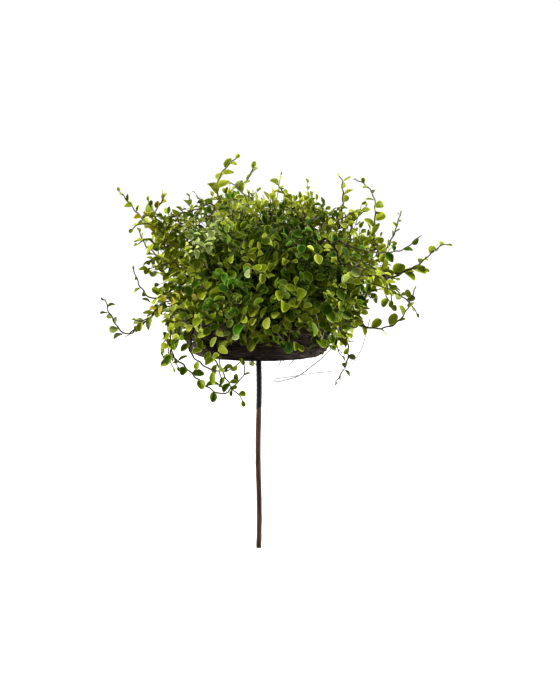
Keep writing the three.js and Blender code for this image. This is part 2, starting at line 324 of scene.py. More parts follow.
@dataclass
class ArrayMesh:
    """Many small shapes, gathered as arrays and joined into one mesh."""

    name: str
    smooth_angle: float = 60.0
    points: list[Array] = field(default_factory=list)
    quads: list[Array] = field(default_factory=list)
    triangles: list[Array] = field(default_factory=list)
    quad_slots: list[Array] = field(default_factory=list)
    triangle_slots: list[Array] = field(default_factory=list)
    quad_grain: list[Array] = field(default_factory=list)
    triangle_grain: list[Array] = field(default_factory=list)
    total: int = 0

    def add(self, points: Array, quads: Array, triangles: Array) -> None:
        """Adds a shape.

        Args:
            points: Its points in millimetres, one a row.
            quads: Its four-sided faces as rows of point numbers.
            triangles: Its three-sided faces as rows of point numbers.
        """
        self.points.append(points)
        self.quads.append(quads + self.total)
        self.triangles.append(triangles + self.total)
        self.total += len(points)

    def add_slots(self, quads: Array, triangles: Array) -> None:
        """Adds the material slots of the faces of the shape that was added last."""
        self.quad_slots.append(quads)
        self.triangle_slots.append(triangles)

    def add_tube(self, path: Path, ends: Span, tube: Tube, slot: int = 0) -> None:
        """Adds a closed round limb along a path.

        Args:
            path: The line down its middle.
            ends: Its radius at the start and at the end.
            tube: How it is cut up.
            slot: Its material slot.
        """
        sides = tube.sides
        rings = max(2, math.ceil(path.length / tube.step) + 1)
        shares = np.linspace(0.0, 1.0, rings)
        centres = path.at(shares)
        headings = unit(np.gradient(centres, axis=0))
        across = carried_across(headings)
        aside = np.cross(headings, across)
        turns = FULL_TURN * np.arange(sides) / sides
        radii = ends[0] + (ends[1] - ends[0]) * shares
        draws = np.random.default_rng(self.total)
        girth = radii[:, None] * (1.0 + draws.uniform(-tube.relief, tube.relief, (rings, sides)))
        ring = np.cos(turns)[:, None] * across[:, None] + np.sin(turns)[:, None] * aside[:, None]
        skin = (centres[:, None] + girth[..., None] * ring).reshape(-1, 3)
        foot = centres[0] - 0.5 * headings[0] * radii[0]
        head = centres[-1] + headings[-1] * radii[-1]
        first, s = np.meshgrid(np.arange(rings - 1) * sides, np.arange(sides), indexing="ij")
        after = (s + 1) % sides
        corners = (first + s, first + after, first + sides + after, first + sides + s)
        quads = np.stack(corners, axis=-1).reshape(-1, 4)
        s, after, last = s[0], after[0], len(skin) - sides
        caps = np.concatenate(
            (
                np.stack((np.full(sides, len(skin)), after, s), axis=-1),
                np.stack((np.full(sides, len(skin) + 1), last + s, last + after), axis=-1),
            )
        )
        self.add(np.vstack((skin, foot, head)), quads, caps)
        self.add_slots(np.full(len(quads), slot), np.full(len(caps), slot))
        self.add_tube_grain(shares * path.length, float(radii.max()), sides)

    def add_tube_grain(self, marks: Array, radius: float, sides: int) -> None:
        """Lays the grain map along a tube: its length one way and its girth the other.

        Args:
            marks: How far along the tube each ring lies.
            radius: The tube's radius.
            sides: How many sides it has.
        """
        girth = FULL_TURN * radius * np.arange(sides + 1) / sides
        grid = np.stack(np.meshgrid(marks, girth, indexing="ij"), axis=-1)
        corners = (grid[:-1, :-1], grid[:-1, 1:], grid[1:, 1:], grid[1:, :-1])
        self.quad_grain.append(np.stack(corners, axis=2).reshape(-1, 4, 2))
        foot = np.stack((grid[0, :-1], grid[0, 1:], grid[0, :-1]), axis=1)
        top = np.stack((grid[-1, :-1], grid[-1, :-1], grid[-1, 1:]), axis=1)
        self.triangle_grain.append(np.concatenate((foot, top)))

    def build(self, materials: Sequence[Material]) -> Piece:
        """Joins the shapes into one object.

        Args:
            materials: Its materials in the order of their slots.

        Returns:
            The object, at the origin.
        """
        quads, triangles = np.concatenate(self.quads), np.concatenate(self.triangles)
        corners = np.concatenate((quads.ravel(), triangles.ravel()))
        sizes = np.concatenate((np.full(len(quads), 4), np.full(len(triangles), 3)))
        starts = np.concatenate(([0], np.cumsum(sizes)[:-1]))
        slots = np.concatenate((*self.quad_slots, *self.triangle_slots))
        mesh = bpy.data.meshes.new(self.name)
        mesh.vertices.add(self.total)
        mesh.vertices.foreach_set("co", (np.concatenate(self.points) * MM).ravel())
        mesh.loops.add(len(corners))
        mesh.loops.foreach_set("vertex_index", corners.astype(np.int32))
        mesh.polygons.add(len(sizes))
        mesh.polygons.foreach_set("loop_start", starts.astype(np.int32))
        mesh.polygons.foreach_set("material_index", slots.astype(np.int32))
        if self.quad_grain:
            grain = [part.ravel() for part in (*self.quad_grain, *self.triangle_grain)]
            grain_map = mesh.uv_layers.new(name=GRAIN_MAP).data
            grain_map.foreach_set("uv", np.concatenate(grain).astype(np.float32))
        mesh.update(calc_edges=True)
        for material in materials:
            mesh.materials.append(material)
        piece = bpy.data.objects.new(self.name, mesh)
        bpy.context.scene.collection.objects.link(piece)
        make_active(piece)
        bpy.ops.object.shade_smooth_by_angle(angle=math.radians(self.smooth_angle))
        return piece


# Work with Blender's own tools


def make_active(piece: Piece) -> None:
    """Selects one object alone and makes it the active one.

    Args:
        piece: The object.
    """
    bpy.ops.object.select_all(action="DESELECT")
    piece.select_set(True)
    bpy.context.view_layer.objects.active = piece


def named_primitive(name: str) -> Piece:
    """Names the primitive that was just added and puts its place into its mesh.

    Args:
        name: Its name.

    Returns:
        The primitive.
    """
    piece = bpy.context.object
    piece.name = name
    piece.data.name = name
    bpy.ops.object.transform_apply(location=True, rotation=True, scale=True)
    return piece


def add_rod(name: str, sides: int, radius: float, foot: float, top: float) -> Piece:
    """Adds an upright cylinder on the axis.

    Args:
        name: Its name.
        sides: How many sides it has.
        radius: Its radius.
        foot: The height of its foot.
        top: The height of its top.

    Returns:
        The cylinder.
    """
    bpy.ops.object.select_all(action="DESELECT")
    bpy.ops.mesh.primitive_cylinder_add(
        vertices=sides,
        radius=radius * MM,
        depth=(top - foot) * MM,
        location=(0.0, 0.0, (top + foot) * MM / 2.0),
    )
    return named_primitive(name)


def select_where(piece: Piece, kind: str, test: Callable[[object], bool]) -> None:
    """Selects the vertices, edges or faces of a mesh in edit mode that pass a test.

    Args:
        piece: The object in edit mode.
        kind: "verts", "edges" or "faces".
        test: Says whether one of them is selected.
    """
    modes = {"verts": "VERT", "edges": "EDGE", "faces": "FACE"}
    bpy.ops.mesh.select_mode(type=modes[kind])
    bpy.ops.mesh.select_all(action="DESELECT")
    shape = bmesh.from_edit_mesh(piece.data)
    for element in getattr(shape, kind):
        element.select_set(test(element))
    bmesh.update_edit_mesh(piece.data)


def shift_points(piece: Piece, rule: Callable[[Array], Array]) -> None:
    """Moves a mesh's points by a rule that reads and gives them in millimetres.

    Args:
        piece: The object in object mode.
        rule: Gives the new points for the old ones, one a row.
    """
    points = np.empty(len(piece.data.vertices) * 3)
    piece.data.vertices.foreach_get("co", points)
    moved = rule(points.reshape(-1, 3) / MM) * MM
    piece.data.vertices.foreach_set("co", moved.ravel())
    piece.data.update()


def lumps(points: Array, size: float) -> Array:
    """Reads smooth noise, from about -1 to 1, at points of a pattern with lumps of a size."""
    return np.array([noise.noise(Vector(point / size)) for point in points])


# Finishes


def tone(colour: str) -> Colour:
    """Turns a screen colour such as #75861c into the numbers a shader takes.

    Args:
        colour: Red, green and blue as six hexadecimal digits after a hash sign.

    Returns:
        Linear red, green and blue, and full opacity.
    """
    shares = [int(colour[k : k + 2], 16) / 255.0 for k in (1, 3, 5)]
    linear = [c / 12.92 if c <= 0.04045 else ((c + 0.055) / 1.055) ** 2.4 for c in shares]
    return (linear[0], linear[1], linear[2], 1.0)


def grey(level: float) -> Colour:
    """Gives an opaque grey of a linear level."""
    return (level, level, level, 1.0)


class NodeTree:
    """Adds and links the nodes of one shader tree."""

    def __init__(self, tree: bpy.types.NodeTree) -> None:
        """Keeps the tree."""
        self.tree = tree

    def add(self, kind: str, inputs: dict | None = None, **settings: object) -> Node:
        """Adds a node.

        Args:
            kind: The node's type name after "ShaderNode".
            inputs: The values of its inputs, by name or number.
            settings: Its properties.

        Returns:
            The node.
        """
        node = self.tree.nodes.new(f"ShaderNode{kind}")
        for name, value in settings.items():
            setattr(node, name, value)
        self.fill_in(node, inputs or {})
        return node

    def fill_in(self, node: Node, inputs: dict) -> None:
        """Sets the values of some inputs of a node, by name or number."""
        for name, value in inputs.items():
            node.inputs[name].default_value = value

    def join(self, source: Socket, target: Socket) -> None:
        """Links an output to an input."""
        self.tree.links.new(source, target)

    def add_ramp(self, mask: Socket, stops: Sequence[tuple[float, Colour]]) -> Socket:
        """Adds a ramp of colours that follows a mask.

        Args:
            mask: The mask, from 0 to 1.
            stops: Places on the mask and their colours, from low to high.

        Returns:
            The ramp's colour.
        """
        ramp = self.add("ValToRGB")
        elements = ramp.color_ramp.elements
        while len(elements) < len(stops):
            elements.new(0.5)
        for element, (place, colour) in zip(elements, stops):
            element.position = place
            element.color = colour
        self.join(mask, ramp.inputs["Fac"])
        return ramp.outputs["Color"]


@dataclass(frozen=True)
class Texture:
    """A pattern of broad noise with fine noise on it."""

    name: str
    detail: float
    distortion: float
    fine_scale: float
    fine_detail: float = 3.0
    fine_share: float = 0.45
    mask_from: Span = (0.32, 0.68)


class Pattern(Enum):
    """The surface patterns that finishes share."""

    FIBRE = Texture("Fibre grain", 4.0, 0.4, 3.7)
    MOTTLE = Texture("Mottle", 2.0, 0.9, 5.0)

    def group(self) -> bpy.types.NodeTree:
        """Gives the pattern's node group, made when it is first asked for.

        Returns:
            The group.
        """
        look = self.value
        if look.name in bpy.data.node_groups:
            return bpy.data.node_groups[look.name]
        tree = bpy.data.node_groups.new(look.name, "ShaderNodeTree")
        for name in ("Place", "Scale"):
            tree.interface.new_socket(name, in_out="INPUT", socket_type="NodeSocketVector")
        for name in ("Mask", "Height"):
            tree.interface.new_socket(name, in_out="OUTPUT", socket_type="NodeSocketFloat")
        nodes = NodeTree(tree)
        start, end = tree.nodes.new("NodeGroupInput"), tree.nodes.new("NodeGroupOutput")
        place = nodes.add("VectorMath", operation="MULTIPLY")
        nodes.join(start.outputs["Place"], place.inputs[0])
        nodes.join(start.outputs["Scale"], place.inputs[1])
        inputs = {"Scale": 1.0, "Detail": look.detail, "Distortion": look.distortion}
        broad = nodes.add("TexNoise", inputs)
        fine = nodes.add("TexNoise", {"Scale": look.fine_scale, "Detail": look.fine_detail})
        for noise_node in (broad, fine):
            nodes.join(place.outputs["Vector"], noise_node.inputs["Vector"])
        limits = {"From Min": look.mask_from[0], "From Max": look.mask_from[1]}
        mask = nodes.add("MapRange", limits, interpolation_type="SMOOTHSTEP")
        nodes.join(broad.outputs["Fac"], mask.inputs["Value"])
        nodes.join(mask.outputs["Result"], end.inputs["Mask"])
        height = nodes.add("Math", {1: look.fine_share}, operation="MULTIPLY_ADD")
        nodes.join(fine.outputs["Fac"], height.inputs[0])
        nodes.join(broad.outputs["Fac"], height.inputs[2])
        nodes.join(height.outputs["Value"], end.inputs["Height"])
        return tree


class Finish:
    """A material in the making, with a surface shader and patterns on it."""

    def __init__(self, name: str, specular: float) -> None:
        """Starts the material.

        Args:
            name: Its name.
            specular: How strongly its surface mirrors light.
        """
        self.material = bpy.data.materials.new(name)
        self.material.use_nodes = True
        self.nodes = NodeTree(self.material.node_tree)
        self.surface = self.material.node_tree.nodes["Principled BSDF"]
        self.set({"Specular IOR Level": specular})

    def set(self, inputs: dict) -> None:
        """Sets the values of some inputs of the surface shader."""
        self.nodes.fill_in(self.surface, inputs)

    def pattern(self, kind: Pattern, scale: Point, grain_map: bool) -> Node:
        """Places a shared pattern.

        Args:
            kind: Which pattern.
            scale: Its repeats for each millimetre of the map or metre of space.
            grain_map: True where it follows the piece's grain map, not space.

        Returns:
            The group's node.
        """
        group = self.nodes.add("Group", node_tree=kind.group())
        group.inputs["Scale"].default_value = scale
        if grain_map:
            place = self.nodes.add("UVMap", uv_map=GRAIN_MAP).outputs["UV"]
        else:
            place = self.nodes.add("TexCoord").outputs["Object"]
        self.nodes.join(place, group.inputs["Place"])
        return group

    def roughen(self, mask: Socket, span: Span) -> None:
        """Makes the roughness follow a mask.

        Args:
            mask: The mask, from 0 to 1.
            span: The roughness at its low and high end.
        """
        spread = self.nodes.add("MapRange", {"To Min": span[0], "To Max": span[1]})
        self.nodes.join(mask, spread.inputs["Value"])
        self.nodes.join(spread.outputs["Result"], self.surface.inputs["Roughness"])

    def emboss(self, height: Socket, distance: float, strength: float) -> None:
        """Raises the surface by a height pattern.

        Args:
            height: The pattern.
            distance: How far it rises, in millimetres.
            strength: How strongly it shows.
        """
        bump = self.nodes.add("Bump", {"Distance": distance * MM, "Strength": strength})
        self.nodes.join(height, bump.inputs["Height"])
        self.nodes.join(bump.outputs["Normal"], self.surface.inputs["Normal"])


@dataclass(frozen=True)
class TonedFinish:
    """A dull natural surface: three tones that follow a pattern, with its relief."""

    name: str
    tones: tuple[str, str, str]
    scale: Point
    roughness: Span
    relief: float
    kind: Pattern = Pattern.FIBRE
    grain_map: bool = True
    middle: float = 0.5
    specular: float = 0.3
    strength: float = 0.7

    def material(self) -> Material:
        """Makes the material.

        Returns:
            The material.
        """
        finish = Finish(self.name, self.specular)
        grain = finish.pattern(self.kind, self.scale, self.grain_map)
        stops = zip((0.0, self.middle, 1.0), (tone(colour) for colour in self.tones))
        colour = finish.nodes.add_ramp(grain.outputs["Mask"], tuple(stops))
        finish.nodes.join(colour, finish.surface.inputs["Base Color"])
        finish.roughen(grain.outputs["Height"], self.roughness)
        finish.emboss(grain.outputs["Height"], self.relief, self.strength)
        return finish.material


# How rough each part of a leaf is, and how strongly it mirrors light.
LEAF_SHEENS = {
    LeafPart.BLADE: ((0.34, 0.54), 0.06),
    LeafPart.MARGIN: ((0.4, 0.55), 0.06),
    LeafPart.UNDERSIDE: ((0.55, 0.75), 0.03),
}


@dataclass(frozen=True)
class LeafFinish:
    """One tint of leaf: its blade, its paler margin and its dull underside."""

    name: str
    blade: str
    margin: str
    underside: str
    cells: float = 420.0
    relief: float = 0.12
    strength: float = 0.35

    def materials(self) -> list[Material]:
        """Makes the three materials of the tint.

        Returns:
            The materials, in the order of a leaf's slots.
        """
        made = []
        for part, colour in zip(LeafPart, (self.blade, self.margin, self.underside)):
            roughness, specular = LEAF_SHEENS[part]
            finish = Finish(f"leaf_{self.name}_{part.name.lower()}", specular)
            finish.set({"Base Color": tone(colour)})
            cells = finish.pattern(Pattern.MOTTLE, (self.cells,) * 3, False)
            finish.roughen(cells.outputs["Mask"], roughness)
            finish.emboss(cells.outputs["Height"], self.relief, self.strength)
            made.append(finish.material)
        return made


class Tint(Enum):
    """The tints that leaves are dealt, spray by spray."""

    OLIVE = LeafFinish("olive", "#6b7c05", "#a6b13e", "#78841c")
    MOSS = LeafFinish("moss", "#4d6604", "#899b34", "#607218")
    LIME = LeafFinish("lime", "#8a961a", "#bbc24a", "#989e26")
    FRESH = LeafFinish("fresh", "#98a62a", "#c7cd5b", "#a4ac38")
    DEEP = LeafFinish("deep", "#3c5f08", "#789237", "#546e1c")
    SHADE = LeafFinish("shade", "#384f09", "#657723", "#445812")
    GRASS = LeafFinish("grass", "#3d6c07", "#7e9e3a", "#5a7a22")
    # The pale and silver tints are paler greens of the leaves, and also a painted whitish sheen.
    PALE = LeafFinish("pale", "#7c8b44", "#acb57f", "#8d985f")
    SILVER = LeafFinish("silver", "#a3b35c", "#c8d28e", "#adb870")
    BRONZE = LeafFinish("bronze", "#887e12", "#ada245", "#8c863a")


TINTS = tuple(Tint)
TintMix = dict[Tint, float]


def mixed(**weights: float) -> TintMix:
    """Gives a mix of tints by their names and weights."""
    return {Tint[name.upper()]: weight for name, weight in weights.items()}


# The tints of fresh sprays, also painted light on the lit flanks and top; of grown sprays, also painted half
# shade at the front; of low sprays; of inner sprays, also painted shade deep in the crown; and of high and
# low runners.
FRESH_AND_LIT_TINTS = mixed(lime=0.38, olive=0.25, fresh=0.16, moss=0.05, pale=0.13, bronze=0.03)
GROWN_HALF_SHADE_TINTS = mixed(moss=0.38, olive=0.24, deep=0.2, grass=0.08, shade=0.1)
LOW_TINTS = mixed(olive=0.46, moss=0.3, grass=0.11, lime=0.07, deep=0.06)
INNER_SHADE_TINTS = mixed(shade=0.46, moss=0.26, deep=0.19, olive=0.05, grass=0.04)
RUNNER_TINTS = mixed(fresh=0.28, lime=0.34, olive=0.22, pale=0.12, bronze=0.04)
LOW_RUNNER_TINTS = mixed(olive=0.4, lime=0.24, moss=0.22, bronze=0.08, pale=0.06)

STAKE_BARK = TonedFinish(
    name="stake_bark",
    tones=("#2b1910", "#452c1e", "#5e4131"),
    scale=(520.0, 520.0, 42.0),
    roughness=(0.55, 0.85),
    relief=0.35,
    grain_map=False,
)
GRAIN = (0.12, 0.9, 1.0)
FINE_GRAIN = (0.15, 0.9, 1.0)
BASKET_BARK = TonedFinish(
    "basket_bark", ("#1d1510", "#362a22", "#65564b"), (0.06, 0.75, 1.0), (0.6, 0.9), 0.25
)
OLD_BARK = TonedFinish("old_stem_bark", ("#2a1f14", "#473524", "#6b5843"), GRAIN, (0.5, 0.8), 0.2)
YOUNG_BARK = TonedFinish("young_stem_bark", ("#3d4014", "#595c28", "#7c8048"), FINE_GRAIN, (0.45, 0.7), 0.12)
PALE_BARK = TonedFinish("pale_stem_bark", ("#7f8456", "#a0a478", "#bcc09a"), FINE_GRAIN, (0.45, 0.7), 0.12)
RUNNER_BARK = TonedFinish("runner_bark", ("#221a0e", "#3f3318", "#655a30"), GRAIN, (0.5, 0.75), 0.12)
# The bare runner's own pale grey, made paler still as painted light, so that the thin strand looks pale where
# it hangs in the crown's shade.
BARE_WIRY = TonedFinish(
    "bare_wiry_bark", ("#b3b1af", "#c3c1bf", "#d2d0ce"), (0.2, 0.9, 1.0), (0.4, 0.6), 0.05
)
NECK_TAPE = TonedFinish(
    name="neck_tape",
    tones=("#0f1010", "#151616", "#1f1f20"),
    scale=(260.0, 260.0, 260.0),
    roughness=(0.5, 0.75),
    relief=0.15,
    kind=Pattern.MOTTLE,
    grain_map=False,
    middle=0.6,
    specular=0.22,
    strength=0.6,
)
PEAT = TonedFinish(
    name="peat",
    tones=("#120c08", "#271b13", "#463423"),
    scale=(240.0, 240.0, 240.0),
    roughness=(0.8, 1.0),
    relief=1.2,
    kind=Pattern.MOTTLE,
    grain_map=False,
    specular=0.1,
    strength=0.6,
)


def enlist(piece: Piece, slot: str, *nodes: str) -> None:
    """Ties a finished piece to the frame and reports it.

    Args:
        piece: The piece.
        slot: A material slot's name, which is not used.
        nodes: The solids that it stands for.
    """
    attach(piece, "root")
    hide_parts(*nodes)
    piece.data.calc_loop_triangles()
    LOG.info("%s: %d triangles", piece.name, len(piece.data.loop_triangles))


# The stake and its wrap


@dataclass
class Stake:
    """The thin bark-covered stake, from its flat cut up into the basket."""

    radius: float = 3.15
    neck_radius: float = 2.75
    neck_foot: float = 171.7
    top: float = 261.0
    floor_z: float = 238.0
    sway: float = 0.7
    half_waves: int = 3
    sides: int = 24
    rings: int = 150
    ridge: float = 0.07
    knots: int = 7
    chamfer: float = 0.35

    def sway_at(self, z: Array) -> Array:
        """Gives how far the stake sways to the right at some heights."""
        wave = self.sway * np.sin(math.pi * self.half_waves * z / self.floor_z)
        return np.where(z < self.floor_z, wave, 0.0)

    def bark(self, points: Array) -> Array:
        """Raises ridges and knots on the rod and bends it to its sway.

        Args:
            points: The rod's points.

        Returns:
            The points on the bark.
        """
        x, y, z = points.T
        girth, turn = np.hypot(x, y), np.arctan2(y, x)
        rod = np.where(z < self.neck_foot, self.radius, self.neck_radius)
        ridges = np.sin(5.0 * turn + 0.050 * z) * np.sin(3.0 * turn - 0.083 * z + 1.3)
        long_view = np.stack((np.cos(turn), np.sin(turn), z / 26.0), axis=-1)
        swell = 0.6 * ridges + 0.9 * lumps(long_view, 0.55) + 0.8 * lumps(long_view * (1, 1, 3.1), 1.0)
        for k in range(self.knots):
            at = 14.0 + (self.neck_foot - 24.0) * (k + chance(k, Draw.SIZE)) / self.knots
            aim = FULL_TURN * chance(k, Draw.TURN)
            aside = np.angle(np.exp(1j * (turn - aim))) * self.radius
            swell += 1.9 * np.exp(-((z - at) ** 2) / 7.0 - aside**2 / 4.0)
        on_side = (girth > 0.9 * self.radius) & (z > 0.5)
        reach = np.where(on_side, rod * (1.01 + self.ridge * np.minimum(swell, 1.6)), girth)
        return np.stack((reach * np.cos(turn) + self.sway_at(z), reach * np.sin(turn), z), axis=-1)

    def build(self) -> Piece:
        """Models the rod, cuts it into rings and raises its bark.

        Returns:
            The stake.
        """
        piece = add_rod("stake_bark", self.sides, self.radius, 0.0, self.top)
        bpy.ops.object.mode_set(mode="EDIT")
        select_where(piece, "edges", lambda e: abs(e.verts[0].co.z - e.verts[1].co.z) > 0.1)
        bpy.ops.mesh.subdivide(number_cuts=self.rings)
        select_where(piece, "faces", lambda f: abs(f.normal.z) > STEEP)
        bpy.ops.mesh.inset(thickness=self.chamfer * MM)
        bpy.ops.mesh.poke()
        bpy.ops.object.mode_set(mode="OBJECT")
        shift_points(piece, self.bark)
        bpy.ops.object.shade_smooth_by_angle(angle=math.radians(50.0))
        return piece

    def dress(self, piece: Piece) -> None:
        """Gives the stake its bark finish and ties it to the frame."""
        piece.data.materials.append(STAKE_BARK.material())
        enlist(piece, "stake_wood", "stake")


@dataclass
class NeckWrap:
    """Dark tape wound round the stake's neck, each turn lapped over the last."""

    foot: float = 171.7
    top: float = 237.7
    under_radius: float = 2.98
    over_radius: float = 3.36
    thickness: float = 0.2
    width: float = 8.6
    pitch: float = 6.0
    steps: int = 28
    pucker: float = 0.036

    def wind(self, piece: Piece) -> None:
        """Winds the tape's cut end up the neck and trims it, level at the top and aslant at the foot.

        Args:
            piece: The cut end of the tape, as a flat loop.
        """
        winding = piece.modifiers.new("wind", "SCREW")
        winding.axis = "Z"
        winding.angle = FULL_TURN
        winding.screw_offset = self.pitch * MM
        winding.iterations = math.ceil((self.top - self.foot) / self.pitch) + 2
        winding.steps = self.steps
        winding.render_steps = self.steps
        bpy.ops.object.modifier_apply(modifier=winding.name)
        bpy.ops.object.mode_set(mode="EDIT")
        for height, facing in ((self.top, (0.0, 0.0, 1.0)), (self.foot, (0.4, -0.3, -1.0))):
            bpy.ops.mesh.select_all(action="SELECT")
            bpy.ops.mesh.bisect(
                plane_co=(0.0, 0.0, height * MM),
                plane_no=facing,
                use_fill=True,
                clear_outer=True,
            )
        bpy.ops.mesh.select_all(action="SELECT")
        bpy.ops.mesh.normals_make_consistent(inside=False)
        bpy.ops.object.mode_set(mode="OBJECT")

    def puckered(self, points: Array) -> Array:
        """Puckers the tape and sets it on the stake's sway.

        Args:
            points: The wound tape's points.

        Returns:
            The puckered points.
        """
        girth = np.hypot(points[:, 0], points[:, 1])
        swell = 1.0 + self.pucker * lumps(points * (1.0, 1.0, 0.6), 2.3)
        swell = np.where(girth > self.under_radius, swell, 1.0)
        moved = points * np.stack((swell, swell, np.ones_like(swell)), axis=-1)
        moved[:, 0] += Stake().sway_at(points[:, 2])
        return moved

    def build(self) -> Piece:
        """Models the tape.

        Returns:
            The wrap.
        """
        bpy.ops.object.select_all(action="DESELECT")
        middle = (self.foot - self.pitch + self.width / 2.0) * MM
        bpy.ops.mesh.primitive_plane_add(
            size=1.0,
            location=(self.under_radius * MM, 0.0, middle),
            rotation=(math.pi / 2.0, 0.0, 0.0),
        )
        bpy.context.object.scale = (self.thickness * MM, self.width * MM, 1.0)
        piece = named_primitive("stake_wrap_tape")
        bpy.ops.object.mode_set(mode="EDIT")
        select_where(piece, "verts", lambda v: v.co.z < middle)
        bpy.ops.transform.translate(value=((self.over_radius - self.under_radius) * MM, 0.0, 0.0))
        bpy.ops.mesh.select_all(action="SELECT")
        bpy.ops.mesh.delete(type="ONLY_FACE")
        bpy.ops.object.mode_set(mode="OBJECT")
        self.wind(piece)
        shift_points(piece, self.puckered)
        bpy.ops.object.shade_smooth_by_angle(angle=math.radians(40.0))
        return piece

    def dress(self, piece: Piece) -> None:
        """Gives the tape its finish and ties it to the frame."""
        piece.data.materials.append(NECK_TAPE.material())
        enlist(piece, "wrap", "stake_wrap")


# The basket and what fills it


@dataclass
class Basket:
    """A shallow basket: thin twigs woven round uprights, over a woven floor."""

    floor_z: float = 238.0
    height: float = 42.0
    radius: float = 84.2
    corner: float = 15.0
    uprights: int = 28
    upright_radii: Span = (1.2, 0.9)
    upright_lift: float = 1.4
    upright_tube: Tube = Tube(5, 4.0, 0.12)
    courses: int = 25
    first_course: float = 1.2
    course_margin: float = 3.0
    weave: float = 1.0
    run: Span = (0.9, 1.9)
    lap: float = 0.1
    drift: Span = (-0.9, 0.9)
    end_lift: float = 1.1
    end_run: float = 0.05
    twig_radius: Span = (0.75, 1.2)
    twig_tube: Tube = Tube(5, 4.2, 0.12)
    floor_rings: int = 24
    floor_start: float = 7.0
    floor_lift: float = 1.1
    floor_weave: float = 0.7
    floor_radius: Span = (1.0, 1.4)
    floor_tube: Tube = Tube(5, 4.5, 0.12)
    rim_strands: int = 3
    rim_twists: int = 22
    rim_swing: float = 1.2
    rim_radius: float = 1.5
    rim_tube: Tube = Tube(5, 2.4)
    strays: int = 70
    stray_run: Span = (0.5, 1.5)
    stray_rise: Span = (-5.0, 5.0)
    stray_lift: float = 1.2
    stray_radius: Span = (0.35, 0.6)
    stray_tube: Tube = Tube(4, 4.0)
    whiskers: int = 26
    whisker_length: Span = (9.0, 17.0)
    whisker_margin: float = 4.0
    whisker_splay: float = 0.35
    whisker_tube: Tube = Tube(4, 2.5)
    mesh: ArrayMesh = field(default_factory=lambda: ArrayMesh("basket_weave"))

    @property
    def rim_z(self) -> float:
        """Gives the height of the rim."""
        return self.floor_z + self.height

    def wall_at(self, z: Array) -> Array:
        """Gives the wall's radius at some heights, rounded into the floor."""
        rise = np.clip((z - self.floor_z) / self.corner, 0.0, 1.0)
        return self.radius - self.corner * (1.0 - np.sqrt(1.0 - (1.0 - rise) ** 2))

    def sides_passed(self, turns: Array, course: int) -> Array:
        """Gives the side of the uprights that a course passes at some turns, from -1 to 1."""
        return np.cos(self.uprights / 2.0 * turns + math.pi * course)

    def stand_uprights(self) -> None:
        """Bends the uprights from the middle of the floor up to the rim."""
        inner = np.linspace(self.floor_start, self.radius - self.corner, 8)
        level = np.full(len(inner), self.floor_z + self.upright_lift)
        wall = level[0] + np.linspace(0.4, self.height - 1.8, 12)
        reach, z = np.concatenate((inner, self.wall_at(wall))), np.concatenate((level, wall))
        for k in range(self.uprights):
            turns = np.full(len(reach), FULL_TURN * (k + 0.5) / self.uprights)
            self.mesh.add_tube(around(turns, reach, z), self.upright_radii, self.upright_tube)

    def weave_wall(self) -> None:
        """Weaves the wall's courses, each of several twigs laid end over end."""
        span = self.height - self.course_margin
        for k in range(self.courses):
            level = self.floor_z + self.first_course + span * k / (self.courses - 1)
            start = FULL_TURN * chance(k, Draw.TURN)
            turn, n = start, 0
            while turn < start + FULL_TURN:
                run = between(self.run, k, n, Draw.LENGTH)
                marks = max(8, int(run * self.radius / 3.6))
                turns = np.linspace(turn - self.lap, turn + run + self.lap, marks)
                phase = 2.3 * (turns - turn) + 6.0 * chance(k, n, Draw.FACE)
                z = level + between(self.drift, k, n, Draw.BEND) * np.sin(phase)
                ends = np.exp((turns[0] - turns) / self.end_run) + np.exp((turns - turns[-1]) / self.end_run)
                lift = self.end_lift * ends * chance(k, n, Draw.AXIS)
                reach = self.wall_at(z) + self.weave * self.sides_passed(turns, k) + lift
                thick = between(self.twig_radius, k, n, Draw.SIZE)
                self.mesh.add_tube(around(turns, reach, z), (thick, 0.7 * thick), self.twig_tube)
                turn, n = turn + run, n + 1

    def weave_floor(self) -> None:
        """Weaves the floor's rings over and under the uprights."""
        width = self.radius - self.corner - self.floor_start
        for k in range(self.floor_rings):
            keys = (k, FirstKey.FLOOR)
            reach = self.floor_start + width * (k + 0.5) / self.floor_rings
            start = FULL_TURN * chance(*keys, Draw.TURN)
            turns = np.linspace(start, start + FULL_TURN + 0.25, max(16, int(reach * 1.6)))
            ripple = self.floor_weave * self.sides_passed(turns, k) * min(1.0, reach / 40.0)
            wander = reach + 0.5 * np.sin(3.0 * turns + k)
            thick = between(self.floor_radius, *keys, Draw.SIZE)
            path = around(turns, wander, self.floor_z + self.floor_lift + ripple)
            self.mesh.add_tube(path, (thick, thick), self.floor_tube)

    def twist_rim(self) -> None:
        """Twists the strands of the rim about one another."""
        turns = np.linspace(0.0, FULL_TURN + 0.06, 240)
        for k in range(self.rim_strands):
            phase = self.rim_twists * turns + FULL_TURN * k / self.rim_strands
            reach = self.radius - 0.2 + self.rim_swing * np.cos(phase)
            z = self.rim_z - 1.4 + self.rim_swing * np.sin(phase)
            self.mesh.add_tube(around(turns, reach, z), (self.rim_radius, self.rim_radius), self.rim_tube)

    def lay_strays(self) -> None:
        """Lays fine loose strands over the wall."""
        for k in range(self.strays):
            keys = (k, FirstKey.STRAY)
            start = FULL_TURN * chance(*keys, Draw.TURN)
            run = between(self.stray_run, *keys, Draw.LENGTH)
            turns = np.linspace(start, start + run, max(8, int(run * self.radius / 4.0)))
            level = self.floor_z + between((1.5, self.height - 1.0), *keys, Draw.BEND)
            rise = between(self.stray_rise, *keys, Draw.AXIS) * (turns - start) / run
            z = np.clip(level + rise, self.floor_z, self.rim_z)
            reach = self.wall_at(z) + self.stray_lift + 0.5 * np.sin(9.0 * turns + k)
            thick = between(self.stray_radius, *keys, Draw.SIZE)
            self.mesh.add_tube(around(turns, reach, z), (thick, 0.5 * thick), self.stray_tube)

